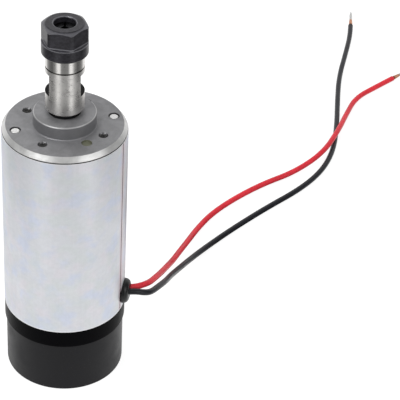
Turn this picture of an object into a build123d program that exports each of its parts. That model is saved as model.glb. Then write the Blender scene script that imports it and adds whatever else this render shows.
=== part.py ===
"""Brushed spindle motor, 52 mm in diameter, with a collet chuck on its shaft.

All sizes are millimetres. The motor stands on its rear cover: the origin is the middle of that
foot and +Z runs along the shaft towards the tool. Seen from -Y, the leads leave on the right.
"""

import os
from math import cos, radians, sin, sqrt, tan

from build123d import *

os.makedirs("parts", exist_ok=True)

# ---------------------------------------------------------------- clearances
SLIP = 0.05             # radial play of pieces that fit but do not move
SEAT = 0.02             # radial play of a bearing or hub on its seat
RUNNING = 0.05          # radial play of pieces that run on each other
THREAD_PLAY = 0.06      # radial play of the plain surfaces that stand for a thread

# ---------------------------------------------------------------- body
BODY_LENGTH = 123.0     # foot to the front flange's face
CAN_DIAMETER = 52.0
CAN_WALL = 2.0
SEAM_WIDTH = 0.35       # the rolled can's butt seam
SEAM_DEPTH = 0.3
SEAM_ANGLE = -24.7

COVER_DIAMETER = 50.6
COVER_HEIGHT = 25.0
COVER_WALL = 2.2
COVER_FLOOR = 3.0
COVER_CHAMFER = 0.4

REAR_BAND_HEIGHT = 8.0  # the rear end bell's rim, seen between the cover and the can
SPIGOT_DROP = 5.0       # how far the rear bell reaches down into the cover
SPIGOT_WALL = 2.8
REAR_WEB_LIFT = 1.5     # underside of the rear web above the cover's rim
REAR_SHELF_RISE = 2.0   # ledge that carries the brush plate
REAR_SHELF_WALL = 2.45
REAR_HUB_RADIUS = 13.5
REAR_BEARING_SUNK = 1.1 # bearing below the rim that carries the can
REAR_SHAFT_HOLE = 6.0   # radius of the hole under the rear bearing

FLANGE_STEP = 0.3       # flange's rim inside the can's outer wall
FLANGE_PROUD = 2.6      # flange face above the can's rim
FLANGE_BEVEL_RUN = 1.5
FLANGE_BEVEL_DROP = 2.0
RIM_GROOVE = 0.35       # shadow gap between the flange and the can's rim
RIM_GROOVE_DEPTH = 0.9
FLANGE_PLATE = 5.0      # thickness of the flange plate behind its face
FRONT_SPIGOT = 6.4      # how far the front bell reaches into the can
FRONT_RING_INNER = 16.0
FRONT_HUB_RADIUS = 13.5
FRONT_HUB_DROP = 1.0    # bearing hub below the flange plate

BOSS_DIAMETER = 26.0
BOSS_HEIGHT = 6.0
BOSS_CHAMFER = 0.5
BOSS_FOOT = 0.35        # small chamfered foot where the boss meets the flange
BOSS_HOLE = 6.7         # radius of the hole round the shaft
BOSS_LIP = 2.7          # metal over the front bearing

TAPPED_CIRCLE = 35.7    # pitch circle of the four M4 mounting holes
TAPPED_COUNT = 4
TAPPED_START = 60.0
TAPPED_RADIUS = 1.65
TAPPED_DEPTH = 7.0
TAPPED_CHAMFER = 0.4
DIMPLE_OFFSET = 16.9
DIMPLE_ANGLE = -58.8
DIMPLE_RADIUS = 2.2
DIMPLE_DEPTH = 0.9

# ---------------------------------------------------------------- through bolts
BOLT_INSET = 3.3        # the bolts' centres lie this far inside the can's bore
BOLT_ANGLES = (14.0, 195.0)
BOLT_RADIUS = 2.0
BOLT_END_CHAMFER = 0.4
BOLT_END_BELOW = 0.25   # the bolt's end lies this far below the flange's face
BOLT_MOUTH_CHAMFER = 0.2
HEAD_RADIUS = 3.5
HEAD_HEIGHT = 3.2
HEAD_SOCKET = 3.0       # across flats
HEAD_SOCKET_DEPTH = 1.8
HEAD_ABOVE_COVER = 0.4

# ---------------------------------------------------------------- bearings (8 x 22 x 7)
BEARING_BORE = 4.0
BEARING_RADIUS = 11.0
BEARING_WIDTH = 7.0
INNER_RACE_RADIUS = 5.9
OUTER_RACE_RADIUS = 9.1
BALL_RADIUS = 1.95
BALL_COUNT = 7
SHIELD_THICKNESS = 0.4
SHIELD_INSET = 0.3
SHIELD_GAP = 0.25
WASHER_THICKNESS = 0.6
WASHER_WIDTH = 2.4

# ---------------------------------------------------------------- magnets
MAGNET_THICKNESS = 6.0
MAGNET_LENGTH = 56.0
MAGNET_ARC = 140.0
CLIP_THICKNESS = 0.8
CLIP_LENGTH = 44.0

# ---------------------------------------------------------------- rotor
AIR_GAP = 0.6
SHAFT_RADIUS = 4.0
SHAFT_CORE_RADIUS = 5.0
SHAFT_NOSE_RADIUS = 2.5
SHAFT_BELOW_BEARING = 2.4
SHAFT_STEP_ABOVE_BOSS = 0.6
SHAFT_CHAMFER = 0.4
CORE_LIFT = 8.3         # armature core above the commutator
CORE_LENGTH = 48.0
SLOT_COUNT = 12
SLOT_OPENING = 2.0
SLOT_FLOOR = 9.0        # radius of the slots' floors
SLOT_FLOOR_WIDTH = 1.6
SLOT_TIP = 1.45         # tooth tips' depth outside the slots
SLOT_MOUTH_WIDTH = 4.6
INSULATOR_THICKNESS = 0.8
END_TURN_HEIGHT = 5.5
END_TURN_INNER = 7.2
END_TURN_INSET = 1.05   # end turns' rim inside the core's
END_TURN_CHAMFER = 1.8
COMMUTATOR_RADIUS = 10.0
COMMUTATOR_LIFT = 4.6   # commutator above the rear bearing
COMMUTATOR_LENGTH = 11.2
COMMUTATOR_HUB = 7.4
RISER_HEIGHT = 1.6
RISER_REACH = 1.3
BAR_GAP = 0.6

# ---------------------------------------------------------------- brush gear
PLATE_THICKNESS = 2.4
PLATE_HOLE = 13.0
PLATE_NOTCH_WIDTH = 12.0
PLATE_NOTCH_FLOOR = 20.5
BRUSH_WIDTH = 5.0
BRUSH_HEIGHT = 7.0
BRUSH_PLAY = 0.1
HOLDER_WALL = 0.6
HOLDER_OFF_COMMUTATOR = 2.0    # from the commutator to the holder's inner end
HOLDER_OFF_CAN = 1.4    # from the holder's outer end to the can's wall
SPRING_RADIUS = 1.7
SPRING_WIRE = 0.25
SPRING_LENGTH = 2.95    # the spring takes this of the holder, and the brush the rest
SPRING_TURNS = 3.5

# ---------------------------------------------------------------- lead exit
LEAD_RADIUS = 1.35
LEAD_SPACING = 2.9
GROMMET_ANGLE = -13.0
GROMMET_RISE = 6.6      # middle of the lead hole above the can's lower rim
GROMMET_RADIUS = 5.5
GROMMET_THICKNESS = 2.6
GROMMET_ROUNDING = 1.1
GROMMET_NECK = 3.65
GROMMET_INNER_RADIUS = 4.5
GROMMET_INNER_THICKNESS = 1.8
LEAD_SLANT = 18.0       # the leads leave at this angle to the grommet's axis
LEAD_JOINT = 1.4        # inner and free leads meet this far past the middle of the can's wall
LEAD_EXIT = 5.9         # the free leads run straight this far past the middle of the can's wall
TIP_RADIUS = 0.6
BLACK_TIP_LENGTH = 15.5
RED_TIP_LENGTH = 12.5

# ---------------------------------------------------------------- chuck, collet and nut
CHUCK_DIAMETER = 16.0
CHUCK_ABOVE_BOSS = 2.0
CHUCK_LENGTH = 25.6     # chuck body below the threaded nose
CHUCK_CHAMFER = 0.4
CHUCK_BORE_DEPTH = 16.3
FLATS_ACROSS = 12.6
FLATS_START = 8.0       # from the chuck's lower end
FLATS_LENGTH = 9.7
GROOVE_START = 19.7
GROOVE_WIDTH = 0.7
GROOVE_DEPTH = 0.45
NOSE_DIAMETER = 14.0
NOSE_LENGTH = 6.6
NOSE_UNDERCUT = 0.6
NOSE_UNDERCUT_WIDTH = 1.0
NOSE_CHAMFER = 0.4
RELIEF_RADIUS = 4.2     # turned space between the shaft's bore and the taper
GRUB_RADIUS = 2.0
GRUB_LENGTH = 4.2
GRUB_HEIGHTS = (3.6, 10.4)
GRUB_SOCKET = 2.0
GRUB_SOCKET_DEPTH = 1.8

COLLET_RADIUS = 5.75
COLLET_LENGTH = 18.0
COLLET_TAPER = 8.0      # half angle
COLLET_FACE_RADIUS = 4.75
COLLET_FACE_ANGLE = 30.0
COLLET_RING = 0.5
COLLET_GROOVE_RADIUS = 4.75
COLLET_GROOVE_WIDTH = 1.8
COLLET_PROUD = 0.4      # the taper's large end above the nose
COLLET_BORE = 1.5875    # radius of a 3.175 mm shank
COLLET_SLOTS = 4        # from each end
COLLET_SLOT_WIDTH = 0.6
COLLET_SLOT_STOP = 3.2

NUT_DIAMETER = 19.0
NUT_FLATS = 17.0
NUT_HEX_TURN = 17.7     # a hexagon's corner, from the -Y direction
NUT_GAP = 0.3           # nut above the chuck's collar
NUT_SKIRT = 5.8
NUT_HEX_HEIGHT = 7.7
NUT_LEDGE_SLOPE = 28.0
NUT_TOP_RADIUS = 7.5
NUT_TOP_SLOPE = 30.0
NUT_SKIRT_CHAMFER = 0.5
NUT_MOUTH = 4.45
NUT_MOUTH_CHAMFER = 0.4
NUT_LIP_RADIUS = 5.15
NUT_LIP_THICKNESS = 1.2
NUT_LIP_CLEARANCE = 0.3
CONE_GAP = 0.12

# ---------------------------------------------------------------- free leads, as they lie
BLACK_ROUTE = [
    (35.1, -5.8, 38.5),
    (38.9, -3.2, 36.5),
    (41.8, 3.0, 33.4),
    (44.5, 14.0, 28.0),
    (47.8, 28.0, 20.4),
    (52.4, 43.2, 12.0),
    (58.0, 57.8, 5.2),
    (66.4, 71.6, 1.6),
    (80.0, 86.2, 1.35),
    (99.0, 104.2, 1.35),
    (117.6, 120.0, 1.35),
    (130.6, 134.8, 1.35),
    (138.4, 153.8, 1.35),
    (142.9, 177.0, 1.35),
    (146.0, 200.6, 1.35),
    (149.6, 224.0, 1.35),
    (156.6, 249.6, 1.35),
    (161.0, 267.8, 1.35),
    (162.6, 276.8, 1.35),
]
RED_ROUTE = [
    (34.0, -1.4, 39.0),
    (37.0, 2.2, 37.6),
    (39.3, 8.9, 34.9),
    (41.9, 18.3, 30.2),
    (46.0, 29.2, 24.0),
    (49.6, 42.6, 17.6),
    (53.8, 58.0, 10.8),
    (58.6, 73.6, 4.6),
    (64.2, 87.6, 1.6),
    (71.8, 99.6, 1.35),
    (84.0, 112.2, 1.35),
    (99.4, 124.6, 1.35),
    (116.2, 134.6, 2.0),
    (131.8, 146.8, 4.9),
    (142.4, 167.4, 4.9),
    (149.0, 186.4, 2.0),
    (156.2, 203.4, 1.35),
    (169.8, 216.0, 1.35),
    (180.8, 223.5, 1.35),
]

# ---------------------------------------------------------------- levels and radii that follow
can_radius = CAN_DIAMETER / 2
can_inner = can_radius - CAN_WALL
can_bottom = COVER_HEIGHT + REAR_BAND_HEIGHT
can_top = BODY_LENGTH - FLANGE_PROUD
grommet_height = can_bottom + GROMMET_RISE
flange_radius = can_radius - FLANGE_STEP
spigot_radius = can_inner - SLIP
cover_inner = COVER_DIAMETER / 2 - COVER_WALL
shelf_top = can_bottom + REAR_SHELF_RISE
plate_top = shelf_top + PLATE_THICKNESS

boss_top = BODY_LENGTH + BOSS_HEIGHT
front_bearing_top = boss_top - BOSS_LIP
front_bearing_bottom = front_bearing_top - BEARING_WIDTH
rear_bearing_top = can_bottom - REAR_BEARING_SUNK
rear_bearing_bottom = rear_bearing_top - BEARING_WIDTH
pocket_floor = rear_bearing_bottom - WASHER_THICKNESS
head_bottom = COVER_HEIGHT + HEAD_ABOVE_COVER
head_top = head_bottom + HEAD_HEIGHT
bolt_offset = can_inner - BOLT_INSET

magnet_inner = can_inner - SLIP - MAGNET_THICKNESS
core_radius = magnet_inner - AIR_GAP
slot_mouth_radius = core_radius - SLOT_TIP
end_turn_outer = core_radius - END_TURN_INSET
commutator_bottom = rear_bearing_top + COMMUTATOR_LIFT
commutator_top = commutator_bottom + COMMUTATOR_LENGTH
core_bottom = commutator_top + CORE_LIFT
core_top = core_bottom + CORE_LENGTH
core_middle = core_bottom + CORE_LENGTH / 2
magnet_middle_angle = (BOLT_ANGLES[0] + BOLT_ANGLES[1]) / 2
brush_middle = plate_top + HOLDER_WALL + BRUSH_PLAY + BRUSH_HEIGHT / 2

chuck_bottom = boss_top + CHUCK_ABOVE_BOSS
collar_top = chuck_bottom + CHUCK_LENGTH
nose_top = collar_top + NOSE_LENGTH
chuck_radius = CHUCK_DIAMETER / 2
nose_radius = NOSE_DIAMETER / 2
nut_radius = NUT_DIAMETER / 2
nut_bottom = collar_top + NUT_GAP
hex_floor = nut_bottom + NUT_SKIRT
nut_top = hex_floor + NUT_HEX_HEIGHT
taper_top = nose_top + COLLET_PROUD
taper_slope = tan(radians(COLLET_TAPER))
ring_bottom = taper_top + COLLET_GROOVE_WIDTH
cone_bottom = ring_bottom + COLLET_RING
cone_height = (COLLET_RADIUS - COLLET_FACE_RADIUS) / tan(radians(COLLET_FACE_ANGLE))
collet_top = cone_bottom + cone_height
collet_bottom = collet_top - COLLET_LENGTH
nut_corner = NUT_HEX_TURN - 90

grommet_plane = Plane(
    origin=(0, 0, grommet_height),
    x_dir=(-sin(radians(GROMMET_ANGLE)), cos(radians(GROMMET_ANGLE)), 0),
    z_dir=(cos(radians(GROMMET_ANGLE)), sin(radians(GROMMET_ANGLE)), 0),
)
grommet_axis = Axis(grommet_plane.origin, grommet_plane.z_dir)
lead_plane = Plane(
    origin=tuple(grommet_plane.from_local_coords((0, 0, can_radius - CAN_WALL / 2))),
    x_dir=(-sin(radians(GROMMET_ANGLE + LEAD_SLANT)), cos(radians(GROMMET_ANGLE + LEAD_SLANT)), 0),
    z_dir=(cos(radians(GROMMET_ANGLE + LEAD_SLANT)), sin(radians(GROMMET_ANGLE + LEAD_SLANT)), 0),
)


def turn(*outline, mode=Mode.ADD):
    """Turn a closed outline of (radius, height) corners about the spindle's axis."""
    with BuildSketch(Plane.XZ) as section:
        with BuildLine():
            Polyline(*outline, close=True)
        make_face()
    revolve(section.sketch.faces(), axis=Axis.Z, mode=mode)


def at_angle(radius, angle, height):
    """Point at a radius from the spindle's axis, an angle in degrees and a height."""
    return (radius * cos(radians(angle)), radius * sin(radians(angle)), height)


def in_grommet(reach, side):
    """Point on a lead's line through the grommet, a distance out from the can's wall."""
    return tuple(lead_plane.from_local_coords((side * LEAD_SPACING / 2, 0, reach)))


def finish(part, name):
    """Label a finished piece and write it to its own file."""
    part.label = name
    export_step(part, f"parts/{name}.step")


# ================================================================ housing
with BuildPart() as rear_cover:
    turn(
        (0, 0),
        (COVER_DIAMETER / 2 - COVER_CHAMFER, 0),
        (COVER_DIAMETER / 2, COVER_CHAMFER),
        (COVER_DIAMETER / 2, COVER_HEIGHT),
        (cover_inner, COVER_HEIGHT),
        (cover_inner, COVER_FLOOR),
        (0, COVER_FLOOR),
    )
finish(rear_cover.part, "rear_cover")

with BuildPart() as rear_end_bell:
    turn(
        (REAR_SHAFT_HOLE, COVER_HEIGHT - SPIGOT_DROP),
        (REAR_HUB_RADIUS, COVER_HEIGHT - SPIGOT_DROP),
        (REAR_HUB_RADIUS, COVER_HEIGHT + REAR_WEB_LIFT),
        (cover_inner - SLIP - SPIGOT_WALL, COVER_HEIGHT + REAR_WEB_LIFT),
        (cover_inner - SLIP - SPIGOT_WALL, COVER_HEIGHT - SPIGOT_DROP),
        (cover_inner - SLIP, COVER_HEIGHT - SPIGOT_DROP),
        (cover_inner - SLIP, COVER_HEIGHT),
        (can_radius, COVER_HEIGHT),
        (can_radius, can_bottom),
        (spigot_radius, can_bottom),
        (spigot_radius, shelf_top),
        (spigot_radius - REAR_SHELF_WALL, shelf_top),
        (spigot_radius - REAR_SHELF_WALL, can_bottom),
        (BEARING_RADIUS + SEAT, can_bottom),
        (BEARING_RADIUS + SEAT, pocket_floor),
        (REAR_SHAFT_HOLE, pocket_floor),
    )
    for angle in BOLT_ANGLES:
        with Locations(at_angle(bolt_offset, angle, COVER_HEIGHT - SPIGOT_DROP)):
            Cylinder(BOLT_RADIUS + SLIP, shelf_top, align=(Align.CENTER, Align.CENTER, Align.MIN),
                     mode=Mode.SUBTRACT)
            Cylinder(HEAD_RADIUS + 4 * SLIP, head_top - COVER_HEIGHT + SPIGOT_DROP,
                     align=(Align.CENTER, Align.CENTER, Align.MIN), mode=Mode.SUBTRACT)
finish(rear_end_bell.part, "rear_end_bell")

with BuildPart() as motor_can:
    with BuildSketch(Plane.XY.offset(can_bottom)):
        Circle(can_radius)
        Circle(can_inner, mode=Mode.SUBTRACT)
    extrude(amount=can_top - can_bottom)
    with BuildSketch(grommet_plane):
        Circle(GROMMET_NECK + SLIP)
    extrude(amount=can_radius + CAN_WALL, mode=Mode.SUBTRACT)
    with Locations(Location(at_angle(can_radius, SEAM_ANGLE, can_bottom), (0, 0, SEAM_ANGLE))):
        Box(2 * SEAM_DEPTH, SEAM_WIDTH, can_top - can_bottom,
            align=(Align.CENTER, Align.CENTER, Align.MIN), mode=Mode.SUBTRACT)
finish(motor_can.part, "motor_can")

with BuildPart() as front_end_bell:
    turn(
        (BOSS_HOLE, front_bearing_top),
        (BOSS_HOLE, boss_top),
        (BOSS_DIAMETER / 2 - BOSS_CHAMFER, boss_top),
        (BOSS_DIAMETER / 2, boss_top - BOSS_CHAMFER),
        (BOSS_DIAMETER / 2, BODY_LENGTH + BOSS_FOOT),
        (BOSS_DIAMETER / 2 + BOSS_FOOT, BODY_LENGTH),
        (flange_radius - FLANGE_BEVEL_RUN, BODY_LENGTH),
        (flange_radius, BODY_LENGTH - FLANGE_BEVEL_DROP),
        (flange_radius, can_top + RIM_GROOVE),
        (flange_radius - RIM_GROOVE_DEPTH, can_top + RIM_GROOVE),
        (flange_radius - RIM_GROOVE_DEPTH, can_top),
        (spigot_radius, can_top),
        (spigot_radius, can_top - FRONT_SPIGOT),
        (FRONT_RING_INNER, can_top - FRONT_SPIGOT),
        (FRONT_RING_INNER, BODY_LENGTH - FLANGE_PLATE),
        (FRONT_HUB_RADIUS, BODY_LENGTH - FLANGE_PLATE),
        (FRONT_HUB_RADIUS, BODY_LENGTH - FLANGE_PLATE - FRONT_HUB_DROP),
        (BEARING_RADIUS + SEAT, BODY_LENGTH - FLANGE_PLATE - FRONT_HUB_DROP),
        (BEARING_RADIUS + SEAT, front_bearing_top),
    )
    with Locations((0, 0, BODY_LENGTH)):
        with PolarLocations(TAPPED_CIRCLE / 2, TAPPED_COUNT, start_angle=TAPPED_START):
            CounterSinkHole(TAPPED_RADIUS, TAPPED_RADIUS + TAPPED_CHAMFER, TAPPED_DEPTH)
    with Locations(at_angle(DIMPLE_OFFSET, DIMPLE_ANGLE, BODY_LENGTH)):
        Hole(DIMPLE_RADIUS, DIMPLE_DEPTH)
    for angle in BOLT_ANGLES:
        with Locations(at_angle(bolt_offset, angle, BODY_LENGTH)):
            CounterSinkHole(BOLT_RADIUS + SLIP, BOLT_RADIUS + SLIP + BOLT_MOUTH_CHAMFER,
                            FLANGE_PROUD + FRONT_SPIGOT + 1)
finish(front_end_bell.part, "front_end_bell")

with BuildPart() as through_bolts:
    for angle in BOLT_ANGLES:
        with BuildSketch(Plane(at_angle(bolt_offset, angle, head_bottom))):
            Circle(HEAD_RADIUS)
            RegularPolygon(HEAD_SOCKET / 2, 6, major_radius=False, mode=Mode.SUBTRACT)
        extrude(amount=HEAD_SOCKET_DEPTH)
        with BuildSketch(Plane(at_angle(bolt_offset, angle, head_bottom + HEAD_SOCKET_DEPTH))):
            Circle(HEAD_RADIUS)
        extrude(amount=HEAD_HEIGHT - HEAD_SOCKET_DEPTH)
        with BuildSketch(Plane(at_angle(bolt_offset, angle, head_top))):
            Circle(BOLT_RADIUS)
        extrude(amount=BODY_LENGTH - BOLT_END_BELOW - head_top)
    chamfer(through_bolts.edges().group_by(Axis.Z)[-1], BOLT_END_CHAMFER)
finish(through_bolts.part, "through_bolts")

# ================================================================ magnets
for name, middle in (("magnet_left", magnet_middle_angle), ("magnet_right", magnet_middle_angle + 180)):
    with BuildPart() as magnet:
        with BuildSketch(Plane.XZ.rotated((0, 0, middle - MAGNET_ARC / 2))):
            with Locations(((magnet_inner + can_inner - SLIP) / 2, core_middle)):
                Rectangle(MAGNET_THICKNESS, MAGNET_LENGTH)
        revolve(axis=Axis.Z, revolution_arc=MAGNET_ARC)
    finish(magnet.part, name)

with BuildPart() as magnet_clips:
    for angle in BOLT_ANGLES:
        clip_arc = 180 - MAGNET_ARC - 4
        with BuildSketch(Plane.XZ.rotated((0, 0, angle - clip_arc / 2))):
            with Locations((can_inner - SLIP - CLIP_THICKNESS / 2, core_middle)):
                Rectangle(CLIP_THICKNESS, CLIP_LENGTH)
        revolve(axis=Axis.Z, revolution_arc=clip_arc)
finish(magnet_clips.part, "magnet_clips")

# ================================================================ bearings
race_pitch = (INNER_RACE_RADIUS + OUTER_RACE_RADIUS) / 2
for place, bottom in (("front", front_bearing_bottom), ("rear", rear_bearing_bottom)):
    middle = bottom + BEARING_WIDTH / 2
    top = bottom + BEARING_WIDTH
    with BuildPart() as outer_race:
        turn((OUTER_RACE_RADIUS, bottom), (BEARING_RADIUS, bottom), (BEARING_RADIUS, top),
             (OUTER_RACE_RADIUS, top))
        with BuildSketch(Plane.XZ):
            with Locations((race_pitch, middle)):
                Circle(BALL_RADIUS + RUNNING)
        revolve(axis=Axis.Z, mode=Mode.SUBTRACT)
    finish(outer_race.part, f"{place}_bearing_outer_race")

    with BuildPart() as inner_race:
        turn((BEARING_BORE + SEAT, bottom), (INNER_RACE_RADIUS, bottom), (INNER_RACE_RADIUS, top),
             (BEARING_BORE + SEAT, top))
        with BuildSketch(Plane.XZ):
            with Locations((race_pitch, middle)):
                Circle(BALL_RADIUS + RUNNING)
        revolve(axis=Axis.Z, mode=Mode.SUBTRACT)
    finish(inner_race.part, f"{place}_bearing_inner_race")

    with BuildPart() as balls:
        with Locations((0, 0, middle)):
            with PolarLocations(race_pitch, BALL_COUNT):
                Sphere(BALL_RADIUS)
    finish(balls.part, f"{place}_bearing_balls")

    with BuildPart() as shields:
        for low in (bottom + SHIELD_INSET, top - SHIELD_INSET - SHIELD_THICKNESS):
            turn((INNER_RACE_RADIUS + SHIELD_GAP, low), (OUTER_RACE_RADIUS - SEAT, low),
                 (OUTER_RACE_RADIUS - SEAT, low + SHIELD_THICKNESS),
                 (INNER_RACE_RADIUS + SHIELD_GAP, low + SHIELD_THICKNESS))
    finish(shields.part, f"{place}_bearing_shields")

with BuildPart() as preload_washer:
    turn((BEARING_RADIUS - WASHER_WIDTH, pocket_floor), (BEARING_RADIUS - SLIP, pocket_floor),
         (BEARING_RADIUS - SLIP, rear_bearing_bottom),
         (BEARING_RADIUS - WASHER_WIDTH, rear_bearing_bottom))
finish(preload_washer.part, "preload_washer")

# ================================================================ rotor
shaft_bottom = rear_bearing_bottom - SHAFT_BELOW_BEARING
shaft_step = boss_top + SHAFT_STEP_ABOVE_BOSS
shaft_top = chuck_bottom + CHUCK_BORE_DEPTH - SHAFT_CHAMFER
with BuildPart() as rotor_shaft:
    turn(
        (0, shaft_bottom),
        (SHAFT_RADIUS - SHAFT_CHAMFER, shaft_bottom),
        (SHAFT_RADIUS, shaft_bottom + SHAFT_CHAMFER),
        (SHAFT_RADIUS, rear_bearing_top),
        (SHAFT_CORE_RADIUS, rear_bearing_top),
        (SHAFT_CORE_RADIUS, front_bearing_bottom),
        (SHAFT_RADIUS, front_bearing_bottom),
        (SHAFT_RADIUS, shaft_step - SHAFT_CHAMFER),
        (SHAFT_RADIUS - SHAFT_CHAMFER, shaft_step),
        (SHAFT_NOSE_RADIUS, shaft_step),
        (SHAFT_NOSE_RADIUS, shaft_top - SHAFT_CHAMFER),
        (SHAFT_NOSE_RADIUS - SHAFT_CHAMFER, shaft_top),
        (0, shaft_top),
    )
finish(rotor_shaft.part, "rotor_shaft")


def slot_sketch(shrink):
    """One armature slot on the X axis, made narrower all round by a given amount."""
    with BuildSketch() as slot:
        with BuildLine():
            Polyline(
                (SLOT_FLOOR + shrink, -SLOT_FLOOR_WIDTH / 2 + shrink),
                (slot_mouth_radius - shrink, -SLOT_MOUTH_WIDTH / 2 + shrink),
                (slot_mouth_radius - shrink, SLOT_MOUTH_WIDTH / 2 - shrink),
                (SLOT_FLOOR + shrink, SLOT_FLOOR_WIDTH / 2 - shrink),
                close=True,
            )
        make_face()
    return slot.sketch


def lamination(bottom, thickness):
    """Slotted disc of the armature's outline, bored for the shaft."""
    with BuildPart() as disc:
        with BuildSketch(Plane.XY.offset(bottom)):
            Circle(core_radius)
            Circle(SHAFT_CORE_RADIUS + SEAT, mode=Mode.SUBTRACT)
            with PolarLocations(0, SLOT_COUNT):
                add(slot_sketch(0), mode=Mode.SUBTRACT)
            with PolarLocations(core_radius, SLOT_COUNT):
                Rectangle(2 * (core_radius - slot_mouth_radius + 0.1), SLOT_OPENING,
                          mode=Mode.SUBTRACT)
        extrude(amount=thickness)
    return disc.part


finish(lamination(core_bottom, CORE_LENGTH), "armature_core")

with BuildPart() as armature_insulators:
    add(lamination(core_bottom - INSULATOR_THICKNESS, INSULATOR_THICKNESS))
    add(lamination(core_top, INSULATOR_THICKNESS))
finish(armature_insulators.part, "armature_insulators")

with BuildPart() as armature_windings:
    with BuildSketch(Plane.XY.offset(core_bottom - INSULATOR_THICKNESS - 0.1)):
        with PolarLocations(0, SLOT_COUNT):
            add(slot_sketch(0.15))
    extrude(amount=CORE_LENGTH + 2 * INSULATOR_THICKNESS + 0.2)
    for start, way in ((core_bottom - INSULATOR_THICKNESS, -1), (core_top + INSULATOR_THICKNESS, 1)):
        turn(
            (END_TURN_INNER, start),
            (end_turn_outer, start),
            (end_turn_outer, start + way * (END_TURN_HEIGHT - END_TURN_CHAMFER)),
            (end_turn_outer - END_TURN_CHAMFER, start + way * END_TURN_HEIGHT),
            (END_TURN_INNER, start + way * END_TURN_HEIGHT),
        )
finish(armature_windings.part, "armature_windings")

with BuildPart() as commutator_hub:
    turn((SHAFT_CORE_RADIUS + SEAT, commutator_bottom), (COMMUTATOR_HUB, commutator_bottom),
         (COMMUTATOR_HUB, commutator_top), (SHAFT_CORE_RADIUS + SEAT, commutator_top))
finish(commutator_hub.part, "commutator_hub")

with BuildPart() as commutator_bars:
    turn((COMMUTATOR_HUB + SEAT, commutator_bottom), (COMMUTATOR_RADIUS, commutator_bottom),
         (COMMUTATOR_RADIUS, commutator_top - RISER_HEIGHT),
         (COMMUTATOR_RADIUS + RISER_REACH, commutator_top - RISER_HEIGHT),
         (COMMUTATOR_RADIUS + RISER_REACH, commutator_top),
         (COMMUTATOR_HUB + SEAT, commutator_top))
    with Locations((0, 0, commutator_bottom)):
        with PolarLocations(0, SLOT_COUNT):
            Box(2 * COMMUTATOR_RADIUS, BAR_GAP, COMMUTATOR_LENGTH,
                align=(Align.MIN, Align.CENTER, Align.MIN), mode=Mode.SUBTRACT)
finish(commutator_bars.part, "commutator_bars")

# ================================================================ brush gear
with BuildPart() as brush_plate:
    with BuildSketch(Plane.XY.offset(shelf_top)):
        Circle(spigot_radius)
        Circle(PLATE_HOLE, mode=Mode.SUBTRACT)
        with Locations(Location((0, 0), GROMMET_ANGLE)):
            with Locations((PLATE_NOTCH_FLOOR, 0)):
                Rectangle(can_radius, PLATE_NOTCH_WIDTH, align=(Align.MIN, Align.CENTER),
                          mode=Mode.SUBTRACT)
        for angle in BOLT_ANGLES:
            with Locations(at_angle(bolt_offset, angle, 0)[:2]):
                Circle(BOLT_RADIUS + 2 * SLIP, mode=Mode.SUBTRACT)
    extrude(amount=PLATE_THICKNESS)
finish(brush_plate.part, "brush_plate")

holder_width = BRUSH_WIDTH + 2 * BRUSH_PLAY + 2 * HOLDER_WALL
holder_height = BRUSH_HEIGHT + 2 * BRUSH_PLAY + 2 * HOLDER_WALL
holder_inner = COMMUTATOR_RADIUS + HOLDER_OFF_COMMUTATOR
holder_outer = can_inner - HOLDER_OFF_CAN
holder_length = holder_outer - holder_inner
holder_middle = (holder_inner + holder_outer) / 2
brush_inner = COMMUTATOR_RADIUS + RUNNING
spring_end = holder_outer - HOLDER_WALL - SPRING_WIRE - SLIP
brush_outer = spring_end - SPRING_LENGTH - SPRING_WIRE - SLIP
for place, way in (("rear", 1), ("front", -1)):
    with BuildPart() as brush_holder:
        with Locations((0, way * holder_middle, brush_middle)):
            Box(holder_width, holder_length, holder_height)
        with Locations((0, way * (holder_middle - HOLDER_WALL), brush_middle)):
            Box(BRUSH_WIDTH + 2 * BRUSH_PLAY, holder_length, BRUSH_HEIGHT + 2 * BRUSH_PLAY,
                mode=Mode.SUBTRACT)
    finish(brush_holder.part, f"brush_holder_{place}")

    with BuildPart() as carbon_brush:
        with Locations((0, way * (brush_outer + COMMUTATOR_RADIUS * 0.9) / 2, brush_middle)):
            Box(BRUSH_WIDTH, brush_outer - COMMUTATOR_RADIUS * 0.9, BRUSH_HEIGHT)
        with Locations((0, 0, brush_middle)):
            Cylinder(brush_inner, 2 * BRUSH_HEIGHT, mode=Mode.SUBTRACT)
    finish(carbon_brush.part, f"carbon_brush_{place}")

    spring_start = way * (brush_outer + SPRING_WIRE + SLIP)
    with BuildPart() as brush_spring:
        with BuildLine() as coil:
            Helix(pitch=SPRING_LENGTH / SPRING_TURNS, height=SPRING_LENGTH, radius=SPRING_RADIUS,
                  center=(0, spring_start, brush_middle), direction=(0, way, 0))
        with BuildSketch(Plane(coil.line @ 0, z_dir=coil.line % 0)):
            Circle(SPRING_WIRE)
        sweep(path=coil.line)
    finish(brush_spring.part, f"brush_spring_{place}")

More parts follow.
